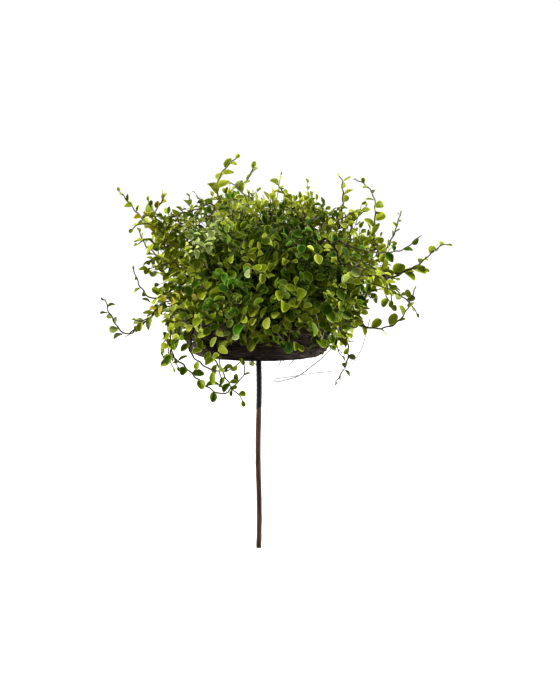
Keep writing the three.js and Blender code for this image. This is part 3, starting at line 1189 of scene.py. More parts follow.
    def stick_out_whiskers(self) -> None:
        """Lets cut ends of twigs stick out of the wall and, one in three, from under the floor."""
        heights = (self.whisker_margin, self.height - self.whisker_margin)
        for k in range(self.whiskers):
            keys = (k, FirstKey.WHISKER)
            out = level_aim(FULL_TURN * (k + chance(*keys, Draw.TURN)) / self.whiskers)
            lift, share, thick, aim = 1.0, 0.9, 0.5, -UP
            if k % 3:
                lift, share, thick = between(heights, *keys, Draw.BEND), 1.0, 0.8
                aim = alternate(k) * np.array((-out[1], out[0], 0.0))
            z = self.floor_z + lift
            aim = unit(self.whisker_splay * out + aim + wobble(0.9, *keys, Draw.AXIS))
            foot = out * self.wall_at(np.array((z,)))[0] * share + UP * z - aim * 4.0
            reach = aim * between(self.whisker_length, *keys, Draw.LENGTH)
            path = bezier((foot, foot + 0.5 * reach, foot + reach + wobble(5.0, *keys, Draw.FACE)), 6)
            self.mesh.add_tube(path, (thick, 0.55 * thick), self.whisker_tube)

    def build(self) -> Piece:
        """Weaves the whole basket.

        Returns:
            The basket.
        """
        self.stand_uprights()
        self.weave_wall()
        self.weave_floor()
        self.twist_rim()
        self.lay_strays()
        self.stick_out_whiskers()
        return self.mesh.build([BASKET_BARK.material()])

    def dress(self, piece: Piece) -> None:
        """Ties the basket to the frame."""
        enlist(piece, "basket_twig", "basket")


@dataclass
class Fill:
    """The peat that the vine is rooted in, heaped a little in the middle."""

    radius: float = 78.0
    foot: float = 243.3
    top: float = 275.0
    corner: float = 11.0
    sides: int = 72
    insets: int = 11
    heap: float = 1.6
    lump: float = 1.5

    def heaped(self, points: Array) -> Array:
        """Heaps the surface and roughens it.

        Args:
            points: The block's points.

        Returns:
            The points of the heap.
        """
        reach = np.hypot(points[:, 0], points[:, 1]) / self.radius
        rough = lumps(points, 9.0) + 0.7 * lumps(points, 3.7)
        on_top = points[:, 2] > self.top - 1.0
        lift = np.where(on_top, self.heap * (1.0 - reach**2) + self.lump * (rough - 0.6), 0.0)
        return points + lift[:, None] * UP

    def build(self) -> Piece:
        """Models the block of peat.

        Returns:
            The fill.
        """
        piece = add_rod("peat_fill", self.sides, self.radius, self.foot, self.top)
        bpy.ops.object.mode_set(mode="EDIT")
        middle = (self.top + self.foot) * MM / 2.0
        select_where(piece, "edges", lambda e: all(v.co.z < middle for v in e.verts))
        bpy.ops.mesh.bevel(offset=self.corner * MM, segments=5)
        select_where(piece, "faces", lambda f: f.normal.z > STEEP)
        for _ in range(self.insets):
            bpy.ops.mesh.inset(thickness=self.radius / (self.insets + 1.0) * MM)
        bpy.ops.mesh.poke()
        bpy.ops.object.mode_set(mode="OBJECT")
        shift_points(piece, self.heaped)
        bpy.ops.object.shade_smooth_by_angle(angle=math.radians(50.0))
        return piece

    def dress(self, piece: Piece) -> None:
        """Gives the peat its finish and ties it to the frame."""
        piece.data.materials.append(PEAT.material())
        enlist(piece, "fill", "fill")


# The vine


@dataclass(frozen=True)
class CrownShape:
    """The crown's outline: a rounded drum, drawn in at its foot and, on the right, at its top."""

    x: float = 18.0
    y: float = 0.0
    z: float = 348.0
    left: float = 141.0
    right: float = 128.0
    deep: float = 134.0
    height_above: float = 79.0
    height_below: float = 88.0
    roundness: float = 3.0
    slope: float = 0.08
    shoulder_z: float = 335.0
    shoulder: float = 0.22
    waist_z: float = 303.0
    right_waist_z: float = 318.0
    draw_in: float = 0.9
    skirt_z: float = 246.0
    front_skirt_z: float = 256.0
    front_half_width: float = 80.0
    front_y: float = -40.0

    def across(self, point: Array) -> float:
        """Gives how far out a point lies from the crown's axis.

        Args:
            point: The point.

        Returns:
            0 on the axis and 1 at the girth, which shrinks below the waist.
        """
        aside = point[0] - self.x
        half = self.left
        if aside >= 0.0:
            half = self.right - self.shoulder * max(0.0, point[2] - self.shoulder_z)
        waist = self.waist_z + (self.right_waist_z - self.waist_z) * min(1.0, max(0.0, aside / half))
        drawn = 1.0 - self.draw_in * max(0.0, waist - point[2]) / self.left
        return math.hypot(aside / half, (point[1] - self.y) / self.deep) / drawn

    def depth(self, point: Array) -> float:
        """Gives how deep in the crown a point lies.

        Args:
            point: The point.

        Returns:
            0 in the middle of the crown and 1 on its outline.
        """
        rise = point[2] - self.z
        if rise > 0.0:
            along = (rise + self.slope * max(0.0, point[0])) / self.height_above
        else:
            along = -rise / self.height_below
        power = self.roundness
        return (self.across(point) ** power + along**power) ** (1.0 / power)

    def skirt(self, point: Array) -> float:
        """Gives how low hanging shoots may reach: less low in front of the basket."""
        in_front = point[1] < self.front_y and abs(point[0]) < self.front_half_width
        return self.front_skirt_z if in_front else self.skirt_z

    def holds(self, point: Array, habit: Habit, outline: float) -> bool:
        """Says whether a point lies in the crown, or in its skirt for a hanging shoot.

        Args:
            point: The point.
            habit: The shoot's habit.
            outline: How far out it may lie, 1 being the outline.

        Returns:
            True where it does.
        """
        if habit is Habit.HANGING and point[2] < self.z:
            return self.across(point) < outline and point[2] > self.skirt(point)
        return self.depth(point) < outline


@dataclass(frozen=True)
class BranchRule:
    """How side shoots are set along a shoot: how far apart, how long and how thick."""

    order: Order
    first_key: int
    spacing: float
    length: float
    taper: float
    radii: Span


@dataclass
class Shoot:
    """A stem, twig, spur, runner or stalk of the vine."""

    path: Path
    radii: Span
    keys: Keys
    habit: Habit
    order: Order
    stem: str
    leaf: float = 13.0
    gap: float = 7.2
    tint: Tint | None = None

    @property
    def is_runner(self) -> bool:
        """Says whether it is a runner, or the stalk of a leaf on one."""
        return self.order is Order.RUNNER

    def bark(self) -> Bark:
        """Gives the bark: old on stems and some twigs, brown on low runners, pale over the rim.

        Returns:
            The bark.
        """
        if self.is_runner:
            is_low = self.stem.startswith(("side", "trail"))
            return Bark.RUNNER if is_low and self.radii[0] > 1.0 else Bark.YOUNG
        if self.order is Order.RIM_SPRAY:
            return Bark.PALE
        is_old_twig = self.order is Order.TWIG and chance(*self.keys, Draw.TINT) < 0.4
        is_old_stem = self.order is Order.STEM and self.habit is not Habit.HANGING
        return Bark.OLD if is_old_twig or is_old_stem else Bark.YOUNG


@dataclass(frozen=True)
class Tier:
    """Stems that stand round the axis, with one habit."""

    name: str
    count: int
    turn: float
    foot: float
    rise: float
    reach: float
    tip_z: float
    habit: Habit

    def names(self) -> list[str]:
        """Gives the names of the tier's stems."""
        return [f"{self.name}_{i + 1}" for i in range(self.count)]


TIERS = (
    Tier("top", 1, 200.0, 5.0, 80.0, 25.0, 450.0, Habit.UPRIGHT),
    Tier("crown", 5, 20.0, 27.0, 70.0, 92.0, 424.0, Habit.UPRIGHT),
    Tier("side", 7, 4.0, 48.0, 50.0, 162.0, 346.0, Habit.SPREADING),
    Tier("trail", 9, 15.0, 66.0, 44.0, 124.0, 256.0, Habit.HANGING),
)


@dataclass(frozen=True)
class Route:
    """The points that a long shoot passes, its leaves' length, gap and tint, and how fine it is."""

    stem: str
    leaf: float
    gap: float
    points: tuple[Point, ...]
    tint: Tint | None = None
    fine: bool = False

    def runner(self, path: Path, radii: Span, keys: Keys) -> Shoot:
        """Gives the runner that takes this route."""
        leaves = (self.leaf, self.gap, self.tint)
        return Shoot(path, radii, keys, Habit.HANGING, Order.RUNNER, self.stem, *leaves)


# Stems that run on out of the crown.
LONG_SHOOTS = (
    Route(
        "top_1", 16.0, 8.0,
        ((-43, 8, 420), (-49, 8, 432), (-46, 10, 449), (-37, 12, 462), (-27, 12, 470)),
    ),
    Route(
        "crown_1", 12.5, 8.5,
        ((128, 26, 340), (138, 30, 373), (141, 36, 402), (140, 40, 422), (131, 42, 438), (118, 41, 444)),
    ),
    Route(
        "crown_3", 12.0, 8.5,
        ((-104, 12, 358), (-129, 18, 388), (-141, 20, 400), (-159, 24, 422), (-168, 25, 432)),
    ),
    Route(
        "crown_5", 10.5, 9.0,
        ((92, -16, 386), (99, -20, 412), (99, -28, 433), (98, -34, 446), (94, -36, 451)),
    ),
    Route(
        "side_1", 15.0, 8.5,
        ((156, 6, 329), (174, 8, 336), (191, 10, 344), (205, 12, 356), (219, 14, 367), (227, 14, 368)),
    ),
    Route(
        "side_2", 8.5, 8.0,
        ((136, 52, 344), (156, 60, 359), (166, 70, 377), (173, 82, 396), (176, 90, 405)),
    ),
    Route(
        "trail_1", 12.0, 9.0,
        ((99, 40, 284), (105, 44, 260), (110, 48, 234), (105, 48, 214), (94, 47, 197)),
    ),
    Route(
        "trail_5", 12.5, 8.0,
        (
            (-126, -10, 285), (-143, -10, 271), (-156, -10, 262), (-167, -10, 270),
            (-177, -8, 287), (-183, -7, 304),
        ),
    ),
    Route(
        "trail_6", 13.5, 11.5,
        (
            (-99, -70, 255), (-84, -80, 233), (-57, -90, 210), (-40, -92, 203),
            (-27, -90, 213), (-18, -88, 221), (-14, -87, 231), (-16, -86, 238),
        ),
    ),
    Route(
        "trail_9", 12.5, 11.0,
        ((97, -60, 288), (132, -64, 276), (152, -66, 278), (165, -66, 287), (175, -66, 303), (181, -65, 322)),
    ),
)

# Runners that branch from a stem near the outline.
RUNNERS = (
    Route("top_1", 15.5, 8.0, ((-26, -20, 430), (-18, -24, 441), (-10, -24, 450), (-6, -22, 459))),
    Route("top_1", 14.0, 7.0, ((-40, -10, 412), (-36, -14, 424), (-33, -16, 436))),
    Route("crown_5", 9.0, 7.5, ((33, -5, 425), (28, -8, 434), (23, -8, 441))),
    Route(
        "side_7", 12.0, 12.0,
        ((87, -96, 378), (105, -98, 373), (129, -92, 366), (148, -82, 365), (166, -72, 367), (186, -62, 381)),
        Tint.DEEP,
    ),
    Route("side_1", 10.5, 10.0, ((159, -10, 320), (170, -16, 309), (181, -20, 299), (188, -20, 288))),
    Route("side_1", 15.0, 10.0, ((146, -20, 338), (153, -26, 324), (151, -30, 311), (157, -34, 299))),
    Route("side_1", 15.0, 7.5, ((120, -40, 336), (140, -44, 334), (152, -46, 322), (156, -46, 306))),
    Route("side_4", 13.0, 7.5, ((-100, -40, 306), (-114, -44, 300), (-124, -46, 290))),
    Route("side_4", 10.5, 12.5, ((-118, -20, 308), (-135, -24, 315), (-144, -26, 334), (-147, -26, 343))),
    Route(
        "trail_6", 12.0, 11.5,
        ((-78, -78, 251), (-61, -90, 235), (-49, -94, 230), (-35, -96, 230), (-19, -94, 241)),
    ),
    Route("trail_6", 14.0, 9.0, ((-104, -50, 285), (-101, -54, 265), (-104, -56, 245), (-98, -58, 228))),
    Route(
        "trail_7", 12.0, 11.5,
        ((-47, -88, 297), (-47, -97, 276), (-44, -100, 258), (-43, -101, 238), (-42, -100, 215)),
    ),
    Route("crown_3", 12.0, 7.0, ((-123, 0, 405), (-116, -4, 417), (-113, -6, 430))),
    Route("crown_3", 14.0, 6.8, ((-110, -14, 388), (-120, -18, 402), (-125, -20, 414), (-129, -20, 422))),
    Route("crown_3", 14.0, 6.8, ((-112, -16, 384), (-128, -20, 394), (-140, -22, 394), (-148, -22, 388))),
    Route("crown_3", 13.5, 7.0, ((-122, -6, 370), (-134, -10, 376), (-142, -12, 370))),
    Route("crown_1", 12.0, 8.0, ((88, -46, 364), (104, -50, 372), (116, -48, 378))),
    # The silver tint of these two runners in front is partly a painted whitish sheen.
    Route("crown_4", 11.0, 5.0, ((-48, -94, 393), (-60, -104, 388), (-70, -108, 379)), Tint.SILVER, True),
    Route("crown_4", 11.5, 5.0, ((-52, -98, 374), (-64, -109, 372), (-78, -112, 365)), Tint.SILVER, True),
    Route("side_6", 14.0, 6.5, ((18, -96, 352), (26, -113, 360), (38, -122, 356)), Tint.OLIVE, True),
    Route("trail_8", 13.5, 7.0, ((38, -98, 326), (32, -117, 322), (24, -124, 308)), Tint.MOSS, True),
    Route("trail_8", 15.0, 7.5, ((36, -94, 300), (28, -109, 288), (29, -116, 268)), Tint.OLIVE, True),
    Route(
        "side_5", 9.5, 13.0,
        ((-50, -62, 416), (-70, -68, 413), (-88, -70, 408), (-100, -70, 405)), Tint.MOSS,
    ),
    Route("crown_2", 12.5, 8.0, ((40, 112, 402), (50, 126, 412), (64, 132, 424))),
    Route("side_3", 13.0, 8.5, ((40, 158, 362), (48, 166, 372), (60, 168, 384))),
    Route("trail_3", 13.0, 9.0, ((-20, 138, 240), (-16, 140, 220), (-4, 138, 206))),
    Route("side_4", 13.0, 8.5, ((-128, 92, 350), (-142, 100, 362), (-150, 106, 378))),
    Route("trail_4", 13.0, 9.0, ((-112, 84, 250), (-122, 90, 232), (-120, 92, 214))),
    Route("trail_2", 13.0, 9.0, ((84, 116, 250), (96, 122, 236), (104, 122, 220))),
    Route("crown_4", 11.0, 8.0, ((-10, -108, 420), (-16, -118, 434), (-28, -122, 444))),
    Route("crown_3", 13.0, 6.5, ((-110, -8, 398), (-124, -10, 403), (-138, -12, 402))),
    Route("side_1", 13.0, 7.5, ((134, -50, 327), (150, -56, 321), (166, -58, 313))),
    Route("side_1", 14.5, 8.5, ((170, 6, 335), (184, 0, 341), (197, -4, 339))),
    Route("trail_6", 14.0, 8.0, ((-96, -64, 262), (-98, -72, 246), (-92, -76, 232))),
    Route("trail_6", 12.5, 9.0, ((-30, -91, 211), (-21, -92, 203), (-17, -92, 194))),
    Route("trail_5", 11.5, 7.0, ((-128, -14, 284), (-137, -16, 280), (-146, -16, 280))),
    Route("crown_5", 12.0, 7.0, ((92, -30, 396), (104, -34, 405), (116, -36, 410))),
    Route("crown_1", 12.0, 7.5, ((112, -10, 394), (122, -12, 405), (128, -12, 416))),
)


# A bare wiry runner that hangs in a loop from under the basket, and cut ends of others by it.
LOOSE_RUNNER = (
    (74, -22, 262), (88, -30, 253), (79, -36, 241), (65, -38, 229), (48, -34, 216), (36, -28, 211),
    (23, -20, 207), (17, -14, 209), (31, -8, 210), (65, 2, 214), (83, 8, 215), (100, 14, 217),
    (111, 20, 220), (119, 28, 230), (126, 33, 241), (132, 38, 262), (136, 42, 276),
)
LOOSE_ENDS = (
    ((29, -40, 242), (27, -43, 235), (23, -45, 227)),
    ((44, -42, 242), (41, -45, 235), (36, -47, 230)),
)


def nearest_stem(stems: dict[str, Shoot], point: Array) -> tuple[str, Array]:
    """Gives the name of the stem that passes nearest to a point, and where it does."""
    name = min(stems, key=lambda stem: np.min(stems[stem].path.gaps(point)))
    return name, stems[name].path.nearest(point)


@dataclass
class Leaf:
    """One leaf: where its stalk ends, how it lies, and its shape."""

    stem: str
    root: Array
    axis: Array
    face: Array
    length: float
    outline: Outline
    cup: float
    fold: float
    curl: float
    twist: float
    tint: int


class LeafShape:
    """The outline, faces and folds that all leaves share."""

    stations = np.array((0.03, 0.14, 0.31, 0.5, 0.69, 0.86, 0.97))
    # Half widths at the stations, as shares of the widest, for each outline.
    halves = {
        Outline.ROUND: (0.36, 0.72, 0.94, 1.00, 0.95, 0.73, 0.37),
        Outline.ELLIPTIC: (0.28, 0.60, 0.88, 1.00, 0.94, 0.69, 0.32),
        Outline.OVATE: (0.34, 0.74, 0.98, 0.98, 0.82, 0.53, 0.23),
        Outline.NARROW: (0.28, 0.62, 0.91, 1.00, 0.88, 0.58, 0.24),
    }
    # The width as a share of the length.
    widths = {Outline.ROUND: 0.88, Outline.ELLIPTIC: 0.7, Outline.OVATE: 0.63, Outline.NARROW: 0.46}
    margin = 0.14
    middle = 0.52
    thickness = 0.016
    groove = 0.024
    rib = 0.022
    curl_start = 0.3

    def __init__(self) -> None:
        """Works out the numbered points and faces of a leaf."""
        count = len(self.stations)
        ring = 2 * count + 2
        outer, upper = np.arange(ring), np.arange(ring) + ring
        rib_over = 2 * ring + np.arange(count)
        under = np.arange(ring) + 2 * ring + count
        rib_under = 3 * ring + count + np.arange(count)
        self.total = 3 * ring + 2 * count
        top_quads, top_triangles = self.side_faces(outer, upper, rib_over)
        low_quads, low_triangles = self.side_faces(outer, under, rib_under)
        self.quads = np.concatenate((top_quads, low_quads[:, ::-1]))
        self.triangles = np.concatenate((top_triangles, low_triangles[:, ::-1]))
        self.quad_parts = np.full(len(self.quads), LeafPart.UNDERSIDE)
        self.quad_parts[: len(top_quads)] = LeafPart.BLADE
        self.quad_parts[:ring] = LeafPart.MARGIN
        self.triangle_parts = np.full(len(self.triangles), LeafPart.UNDERSIDE)
        self.triangle_parts[: len(top_triangles)] = LeafPart.BLADE
        self.along, self.aside = self.flat_points()
        self.lift = np.zeros(self.total)
        self.lift[rib_over] = -self.groove
        self.lift[under] = -self.thickness
        self.lift[rib_under] = -self.thickness - self.rib

    def side_faces(self, outer: Array, inner: Array, rib: Array) -> tuple[Array, Array]:
        """Numbers the faces of one side: its margin, then its blade.

        Args:
            outer: The outline's points, from the base round by the right to the left.
            inner: The points inside the margin, in the same order.
            rib: The points down the midrib.

        Returns:
            Its quads, margin first, and its triangles.
        """
        count = len(rib)
        margin = np.stack((outer, np.roll(outer, -1), np.roll(inner, -1), inner), axis=-1)
        right, tip, left = inner[1 : count + 1], inner[count + 1], inner[count + 2 :][::-1]
        over_right = np.stack((right[:-1], right[1:], rib[1:], rib[:-1]), axis=-1)
        over_left = np.stack((rib[:-1], rib[1:], left[1:], left[:-1]), axis=-1)
        ends = (
            (inner[0], right[0], rib[0]),
            (inner[0], rib[0], left[0]),
            (right[-1], tip, rib[-1]),
            (rib[-1], tip, left[-1]),
        )
        return np.concatenate((margin, over_right, over_left)), np.array(ends)

    def flat_points(self) -> tuple[Array, Array]:
        """Lays out the points of each outline before the leaf is bent.

        Returns:
            Shares along the leaf, and shares of the half width aside, one row an outline.
        """
        along, aside = [], []
        for outline in Outline:
            wide = np.array(self.halves[outline])
            u = np.concatenate(([0.0], self.stations, [1.0], self.stations[::-1]))
            v = np.concatenate(([0.0], -wide, [0.0], wide[::-1]))
            inner_u = self.middle + (u - self.middle) * (1.0 - self.margin)
            inner_v = v * (1.0 - self.margin)
            rib = self.middle + (self.stations - self.middle) * (1.0 - self.margin)
            none = np.zeros(len(rib))
            along.append(np.concatenate((u, inner_u, rib, inner_u, rib)))
            aside.append(np.concatenate((v, inner_v, none, inner_v, none)))
        return np.array(along), np.array(aside)

    def place(self, leaves: Sequence[Leaf]) -> Array:
        """Bends and places leaves.

        Args:
            leaves: The leaves.

        Returns:
            Their points, leaf after leaf.
        """
        outlines = [leaf.outline for leaf in leaves]
        u, q = self.along[outlines], self.aside[outlines]
        half = np.array([self.widths[outline] for outline in outlines])[:, None] / 2.0
        bends = np.array([(leaf.cup, leaf.fold, leaf.twist, leaf.curl) for leaf in leaves])
        cup, fold, twist, curl = bends.T[..., None]
        rise = cup * q**2 + fold * np.abs(q) + twist * q * u
        rise = rise - curl * (u - self.curl_start) ** 2 + self.lift
        root, axis, face = np.array([(leaf.root, leaf.axis, leaf.face) for leaf in leaves]).swapaxes(0, 1)
        side = unit(np.cross(face, axis))
        bent = u[..., None] * axis[:, None] + (q * half)[..., None] * side[:, None]
        bent = bent + rise[..., None] * np.cross(axis, side)[:, None]
        length = np.array([leaf.length for leaf in leaves])[:, None, None]
        return (root[:, None] + length * bent).reshape(-1, 3)

    def add_all(self, leaves: Sequence[Leaf], mesh: ArrayMesh) -> None:
        """Adds leaves to a mesh, each with the slots of its tint.

        Args:
            leaves: The leaves.
            mesh: The mesh.
        """
        first = (np.arange(len(leaves)) * self.total)[:, None, None]
        quads = (self.quads + first).reshape(-1, 4)
        triangles = (self.triangles + first).reshape(-1, 3)
        mesh.add(self.place(leaves), quads, triangles)
        tint = len(LeafPart) * np.array([leaf.tint for leaf in leaves])[:, None]
        mesh.add_slots((self.quad_parts + tint).ravel(), (self.triangle_parts + tint).ravel())


class Spacing:
    """Keeps the middles of leaves apart."""

    def __init__(self, cell: float) -> None:
        """Starts with no leaf, in cells of the widest gap that is asked for."""
        self.cell = cell
        self.cells: dict[Keys, list[Array]] = {}

    def take(self, point: Array, gap: float) -> bool:
        """Takes a place unless a leaf is too near it.

        Args:
            point: The middle of the new leaf.
            gap: The least distance to another.

        Returns:
            True where the place was free.
        """
        home = tuple(int(math.floor(c / self.cell)) for c in point)
        steps = (-1, 0, 1)
        for near in ((home[0] + i, home[1] + j, home[2] + k) for i in steps for j in steps for k in steps):
            for other in self.cells.get(near, ()):
                if np.dot(point - other, point - other) < gap * gap:
                    return False
        self.cells.setdefault(home, []).append(point)
        return True


@dataclass
class Vine:
    """The vine: stems in tiers, twigs, spurs and runners on them, and leaves on all."""

    crown: CrownShape = CrownShape()
    fill_top: float = 275.3
    rim_z: float = 280.0
    pot_radius: float = 86.2
    floor_z: float = 238.0
    stake_radius: float = 3.4
    bough_length: float = 14.0
    stem_end: float = 24.0
    sunk: float = 3.0
    bough_radii: Span = (1.7, 1.3)
    bough_tube: Tube = Tube(10, 1.1, 0.13)
    stem_radii: Span = (1.3, 0.55)
    twigs: BranchRule = BranchRule(Order.TWIG, 1, 22.0, 80.0, 0.45, (0.8, 0.42))
    side_twigs: BranchRule = BranchRule(Order.TWIG, 100, 22.0, 46.0, 0.4, (0.55, 0.36))
    spur_radii: Span = (0.48, 0.28)
    spray_radii: Span = (0.85, 0.5)
    runner_radii: Span = (1.3, 0.7)
    stalk_radius: float = 0.42
    drop: float = 50.0
    lean: float = 34.0
    arm: float = 74.0
    arch: float = 22.0
    over_rim: float = 52.0
    overhang: float = 8.0
    twig_first: float = 0.3
    forward: float = 0.55
    runner_forward: float = 0.7
    rise: float = 0.25
    sway: float = 0.5
    cuts: tuple[float, ...] = (1.0, 0.75, 0.55, 0.4)
    pot_margin: float = 2.5
    spur_spacing: float = 12.0
    spur_length: float = 28.0
    tip_length: float = 26.0
    tip_share: float = 0.22
    tip_leaf: float = 10.5
    tip_radii: Span = (0.6, 0.34)
    rim_sprays: int = 36
    spray_slant: float = 0.4
    top_sprays: int = 15
    top_reach: float = 66.0
    top_drop: float = 20.0
    leaf_spacing: float = 7.2
    runner_spacing: float = 7.2
    leaf_gap: float = 0.45
    own_tints: float = 0.4
    # Leaves about this height, under the crown's overhanging top, are dealt older, darker tints, partly as
    # painted shade.
    old_z: float = 340.0
    old_shaded_span: float = 82.0
    kink: float = 0.8
    stem_marks: int = 48
    probes: int = 101
    least_inside: int = 30
    stalk_tube: Tube = Tube(3, 5.0, 0.0)
    loose_tube: Tube = Tube(6, 2.0, 0.06)
    stems_a_piece: int = 3
    shoots: list[Shoot] = field(default_factory=list)
    leaves: list[Leaf] = field(default_factory=list)
    stalks: list[Shoot] = field(default_factory=list)

    # How the shoots of each order are cut up.
    tubes = {
        Order.STEM: Tube(7, 3.5),
        Order.TWIG: Tube(5, 6.0),
        Order.SPUR: Tube(4, 8.0),
        Order.RUNNER: Tube(6, 3.5),
        Order.RIM_SPRAY: Tube(6, 4.0),
    }

    def is_clear(self, point: Array, margin: float) -> bool:
        """Says whether a point is clear of the basket and the stake.

        Args:
            point: The point.
            margin: How far it has to keep away.

        Returns:
            True where it is clear.
        """
        reach = math.hypot(point[0], point[1])
        if point[2] > self.rim_z + margin:
            return True
        if point[2] < self.floor_z - margin:
            return reach > self.stake_radius + margin
        return reach > self.pot_radius + margin

    def fits(self, path: Path, habit: Habit, outline: float) -> bool:
        """Says whether a shoot keeps inside an outline, 1 being the crown's, and clear of the pot."""
        tried = path.at(np.linspace(0.17, 1.0, 6))
        return all(self.crown.holds(p, habit, outline) and self.is_clear(p, self.pot_margin) for p in tried)

    def knee(self, habit: Habit, out: Array, tip: Array) -> Array:
        """Gives the point that a stem bends at before its tip.

        Args:
            habit: The stem's habit.
            out: Level unit direction of its tip.
            tip: Its tip.

        Returns:
            The point.
        """
        if habit is Habit.UPRIGHT:
            return tip - self.drop * UP - self.lean * out
        if habit is Habit.SPREADING:
            return tip - self.arm * out + self.arch * UP
        return np.array((tip[0], tip[1], self.rim_z + self.over_rim)) + self.overhang * out

    def plan_stems(self) -> tuple[dict[str, Shoot], list[Shoot]]:
        """Plans the stems, tier by tier.

        Returns:
            The stems by name, each from its foot in the peat to its tip or to the crown's
            outline, and the runners in which the long ones end.
        """
        stems: dict[str, Shoot] = {}
        ends: list[Shoot] = []
        routes = {route.stem: route for route in LONG_SHOOTS}
        for tier in TIERS:
            for i, name in enumerate(tier.names()):
                keys = (len(stems), 0)
                out = level_aim(math.radians(tier.turn + 360.0 * i / tier.count))
                foot = out * tier.foot + self.fill_top * UP
                tip = np.array((self.crown.x, self.crown.y, tier.tip_z)) + out * tier.reach
                route = routes.get(name)
                if route:
                    tip = np.array(route.points[-1], dtype=float)
                level = unit(np.array((tip[0], tip[1], 0.0)))
                knee = self.knee(tier.habit, level, tip)
                path = bezier((foot, foot + tier.rise * UP, knee, tip), self.stem_marks)
                radii = self.stem_radii
                if route:
                    path = spline([*path.at(np.array((0.0, 0.12, 0.25, 0.38))), *route.points])
                    leave = self.leaving_share(path, tier.habit)
                    outer = self.kinked(path.part(leave, 1.0), *keys)
                    ends.append(route.runner(outer, self.runner_radii, keys))
                    path = path.part(0.0, leave, self.stem_marks)
                    radii = (self.stem_radii[0], self.runner_radii[0])
                elif tier.habit is Habit.HANGING:
                    path = self.cut_at_skirt(path)
                stems[name] = Shoot(path, radii, keys, tier.habit, Order.STEM, name)
        return stems, ends

    def cut_at_skirt(self, path: Path) -> Path:
        """Cuts a hanging stem back a little above the foot of the crown's skirt.

        Args:
            path: The stem.

        Returns:
            The stem as far as it reaches.
        """
        for share in np.linspace(0.0, 1.0, self.probes):
            point = path.at(share)
            if share > 0.5 and point[2] < self.crown.skirt(point) + self.stem_end:
                return path.part(0.0, share, self.stem_marks)
        return path

    def kinked(self, path: Path, *keys: int) -> Path:
        """Bends a runner a little to and fro at its leaves.

        Args:
            path: The runner.
            keys: What names the draws.

        Returns:
            The kinked runner, with the same ends.
        """
        count = max(2, round(path.length / self.runner_spacing))
        knots = path.at(np.linspace(0.0, 1.0, count + 1))
        for k in range(1, count):
            aside = unit(np.cross(LIGHT, path.heading(k / count)))
            knots[k] += self.kink * alternate(k) * aside + wobble(self.kink, *keys, k, Draw.BEND)
        return spline(knots, 5)

    def leaving_share(self, path: Path, habit: Habit) -> float:
        """Finds where a long shoot leaves the crown.

        Args:
            path: The shoot.
            habit: Its habit.

        Returns:
            The share of its length at which it does.
        """
        shares = np.linspace(0.0, 1.0, self.probes)
        inside = [self.crown.holds(point, habit, 0.97) for point in path.at(shares)]
        return float(shares[max(k for k in range(self.probes) if inside[k] or k < self.least_inside)])

    def branches_of(self, shoot: Shoot, rule: BranchRule) -> list[Shoot]:
        """Grows side twigs, turned by the golden angle and longest near the shoot's foot.

        Args:
            shoot: The shoot that they grow on.
            rule: How they are set.

        Returns:
            The twigs that fit, cut back where they have to be.
        """
        index, above = shoot.keys[:2]
        lift = -0.1 if shoot.habit is Habit.HANGING else 0.2
        start = FULL_TURN * chance(index + above, Draw.TURN)
        count = int(shoot.path.length // rule.spacing)
        twigs = []
        for j in range(count):
            number = rule.first_key + 20 * above + j
            share = (j + self.twig_first) / count
            root, along = shoot.path.at(share), shoot.path.heading(share)
            across = unit(np.array((along[1], -along[0], NUDGE)))
            across = turned(across, along, GOLDEN_ANGLE * j + start)
            aim = unit(across + self.forward * along + lift * UP)
            draw, keys = (index, number - 1), (index, number)
            end = unit(aim + (wobble(self.sway, *draw, Draw.BEND) + self.rise * UP))
            full = spread_around(rule.length, 0.3, *draw, Draw.LENGTH) * (1.0 - rule.taper * share)
            for cut in self.cuts:
                path = bowed(root, aim, end, full * cut, 12)
                if self.fits(path, shoot.habit, 1.0):
                    twigs.append(Shoot(path, rule.radii, keys, shoot.habit, rule.order, shoot.stem))
                    break
        return twigs

    def tips_of(self, twigs: Sequence[Shoot]) -> list[Shoot]:
        """Lets some twigs that end near the crown's upper outline run on out of it, curling up.

        Args:
            twigs: The twigs.

        Returns:
            The runners in which they end.
        """
        tips = []
        for twig in twigs:
            root, along = twig.path.at(1.0), twig.path.heading(1.0)
            is_near = self.crown.depth(root) > 0.84 and root[2] > self.crown.z - 20.0
            if is_near and chance(*twig.keys, Draw.KIND) < self.tip_share:
                keys = (*twig.keys, FirstKey.TIP)
                length = spread_around(self.tip_length, 0.45, *keys, Draw.LENGTH)
                end = unit(along + wobble(1.2, *keys, Draw.BEND) + 0.7 * UP)
                path = bowed(root, unit(along + 0.3 * UP), end, length, 10)
                look = (self.tip_radii, keys, Habit.HANGING, Order.RUNNER, twig.stem, self.tip_leaf)
                tips.append(Shoot(path, *look))
        return tips

    def face_at(self, point: Array, pull: float, *keys: int) -> Array:
        """Turns a leaf outwards from the middle of the crown's foot and to the light.

        Args:
            point: Where the leaf grows.
            pull: How strongly the light turns it.
            keys: What names the draw.

        Returns:
            The unit direction that the leaf faces.
        """
        middle = np.array((self.crown.x, self.crown.y, self.crown.z - self.crown.height_below))
        away = 0.8 * unit(point - middle) + 0.45 * (1.0 - 0.5 * pull) * UP
        return unit(away + pull * LIGHT + wobble(2.1, *keys, Draw.FACE))

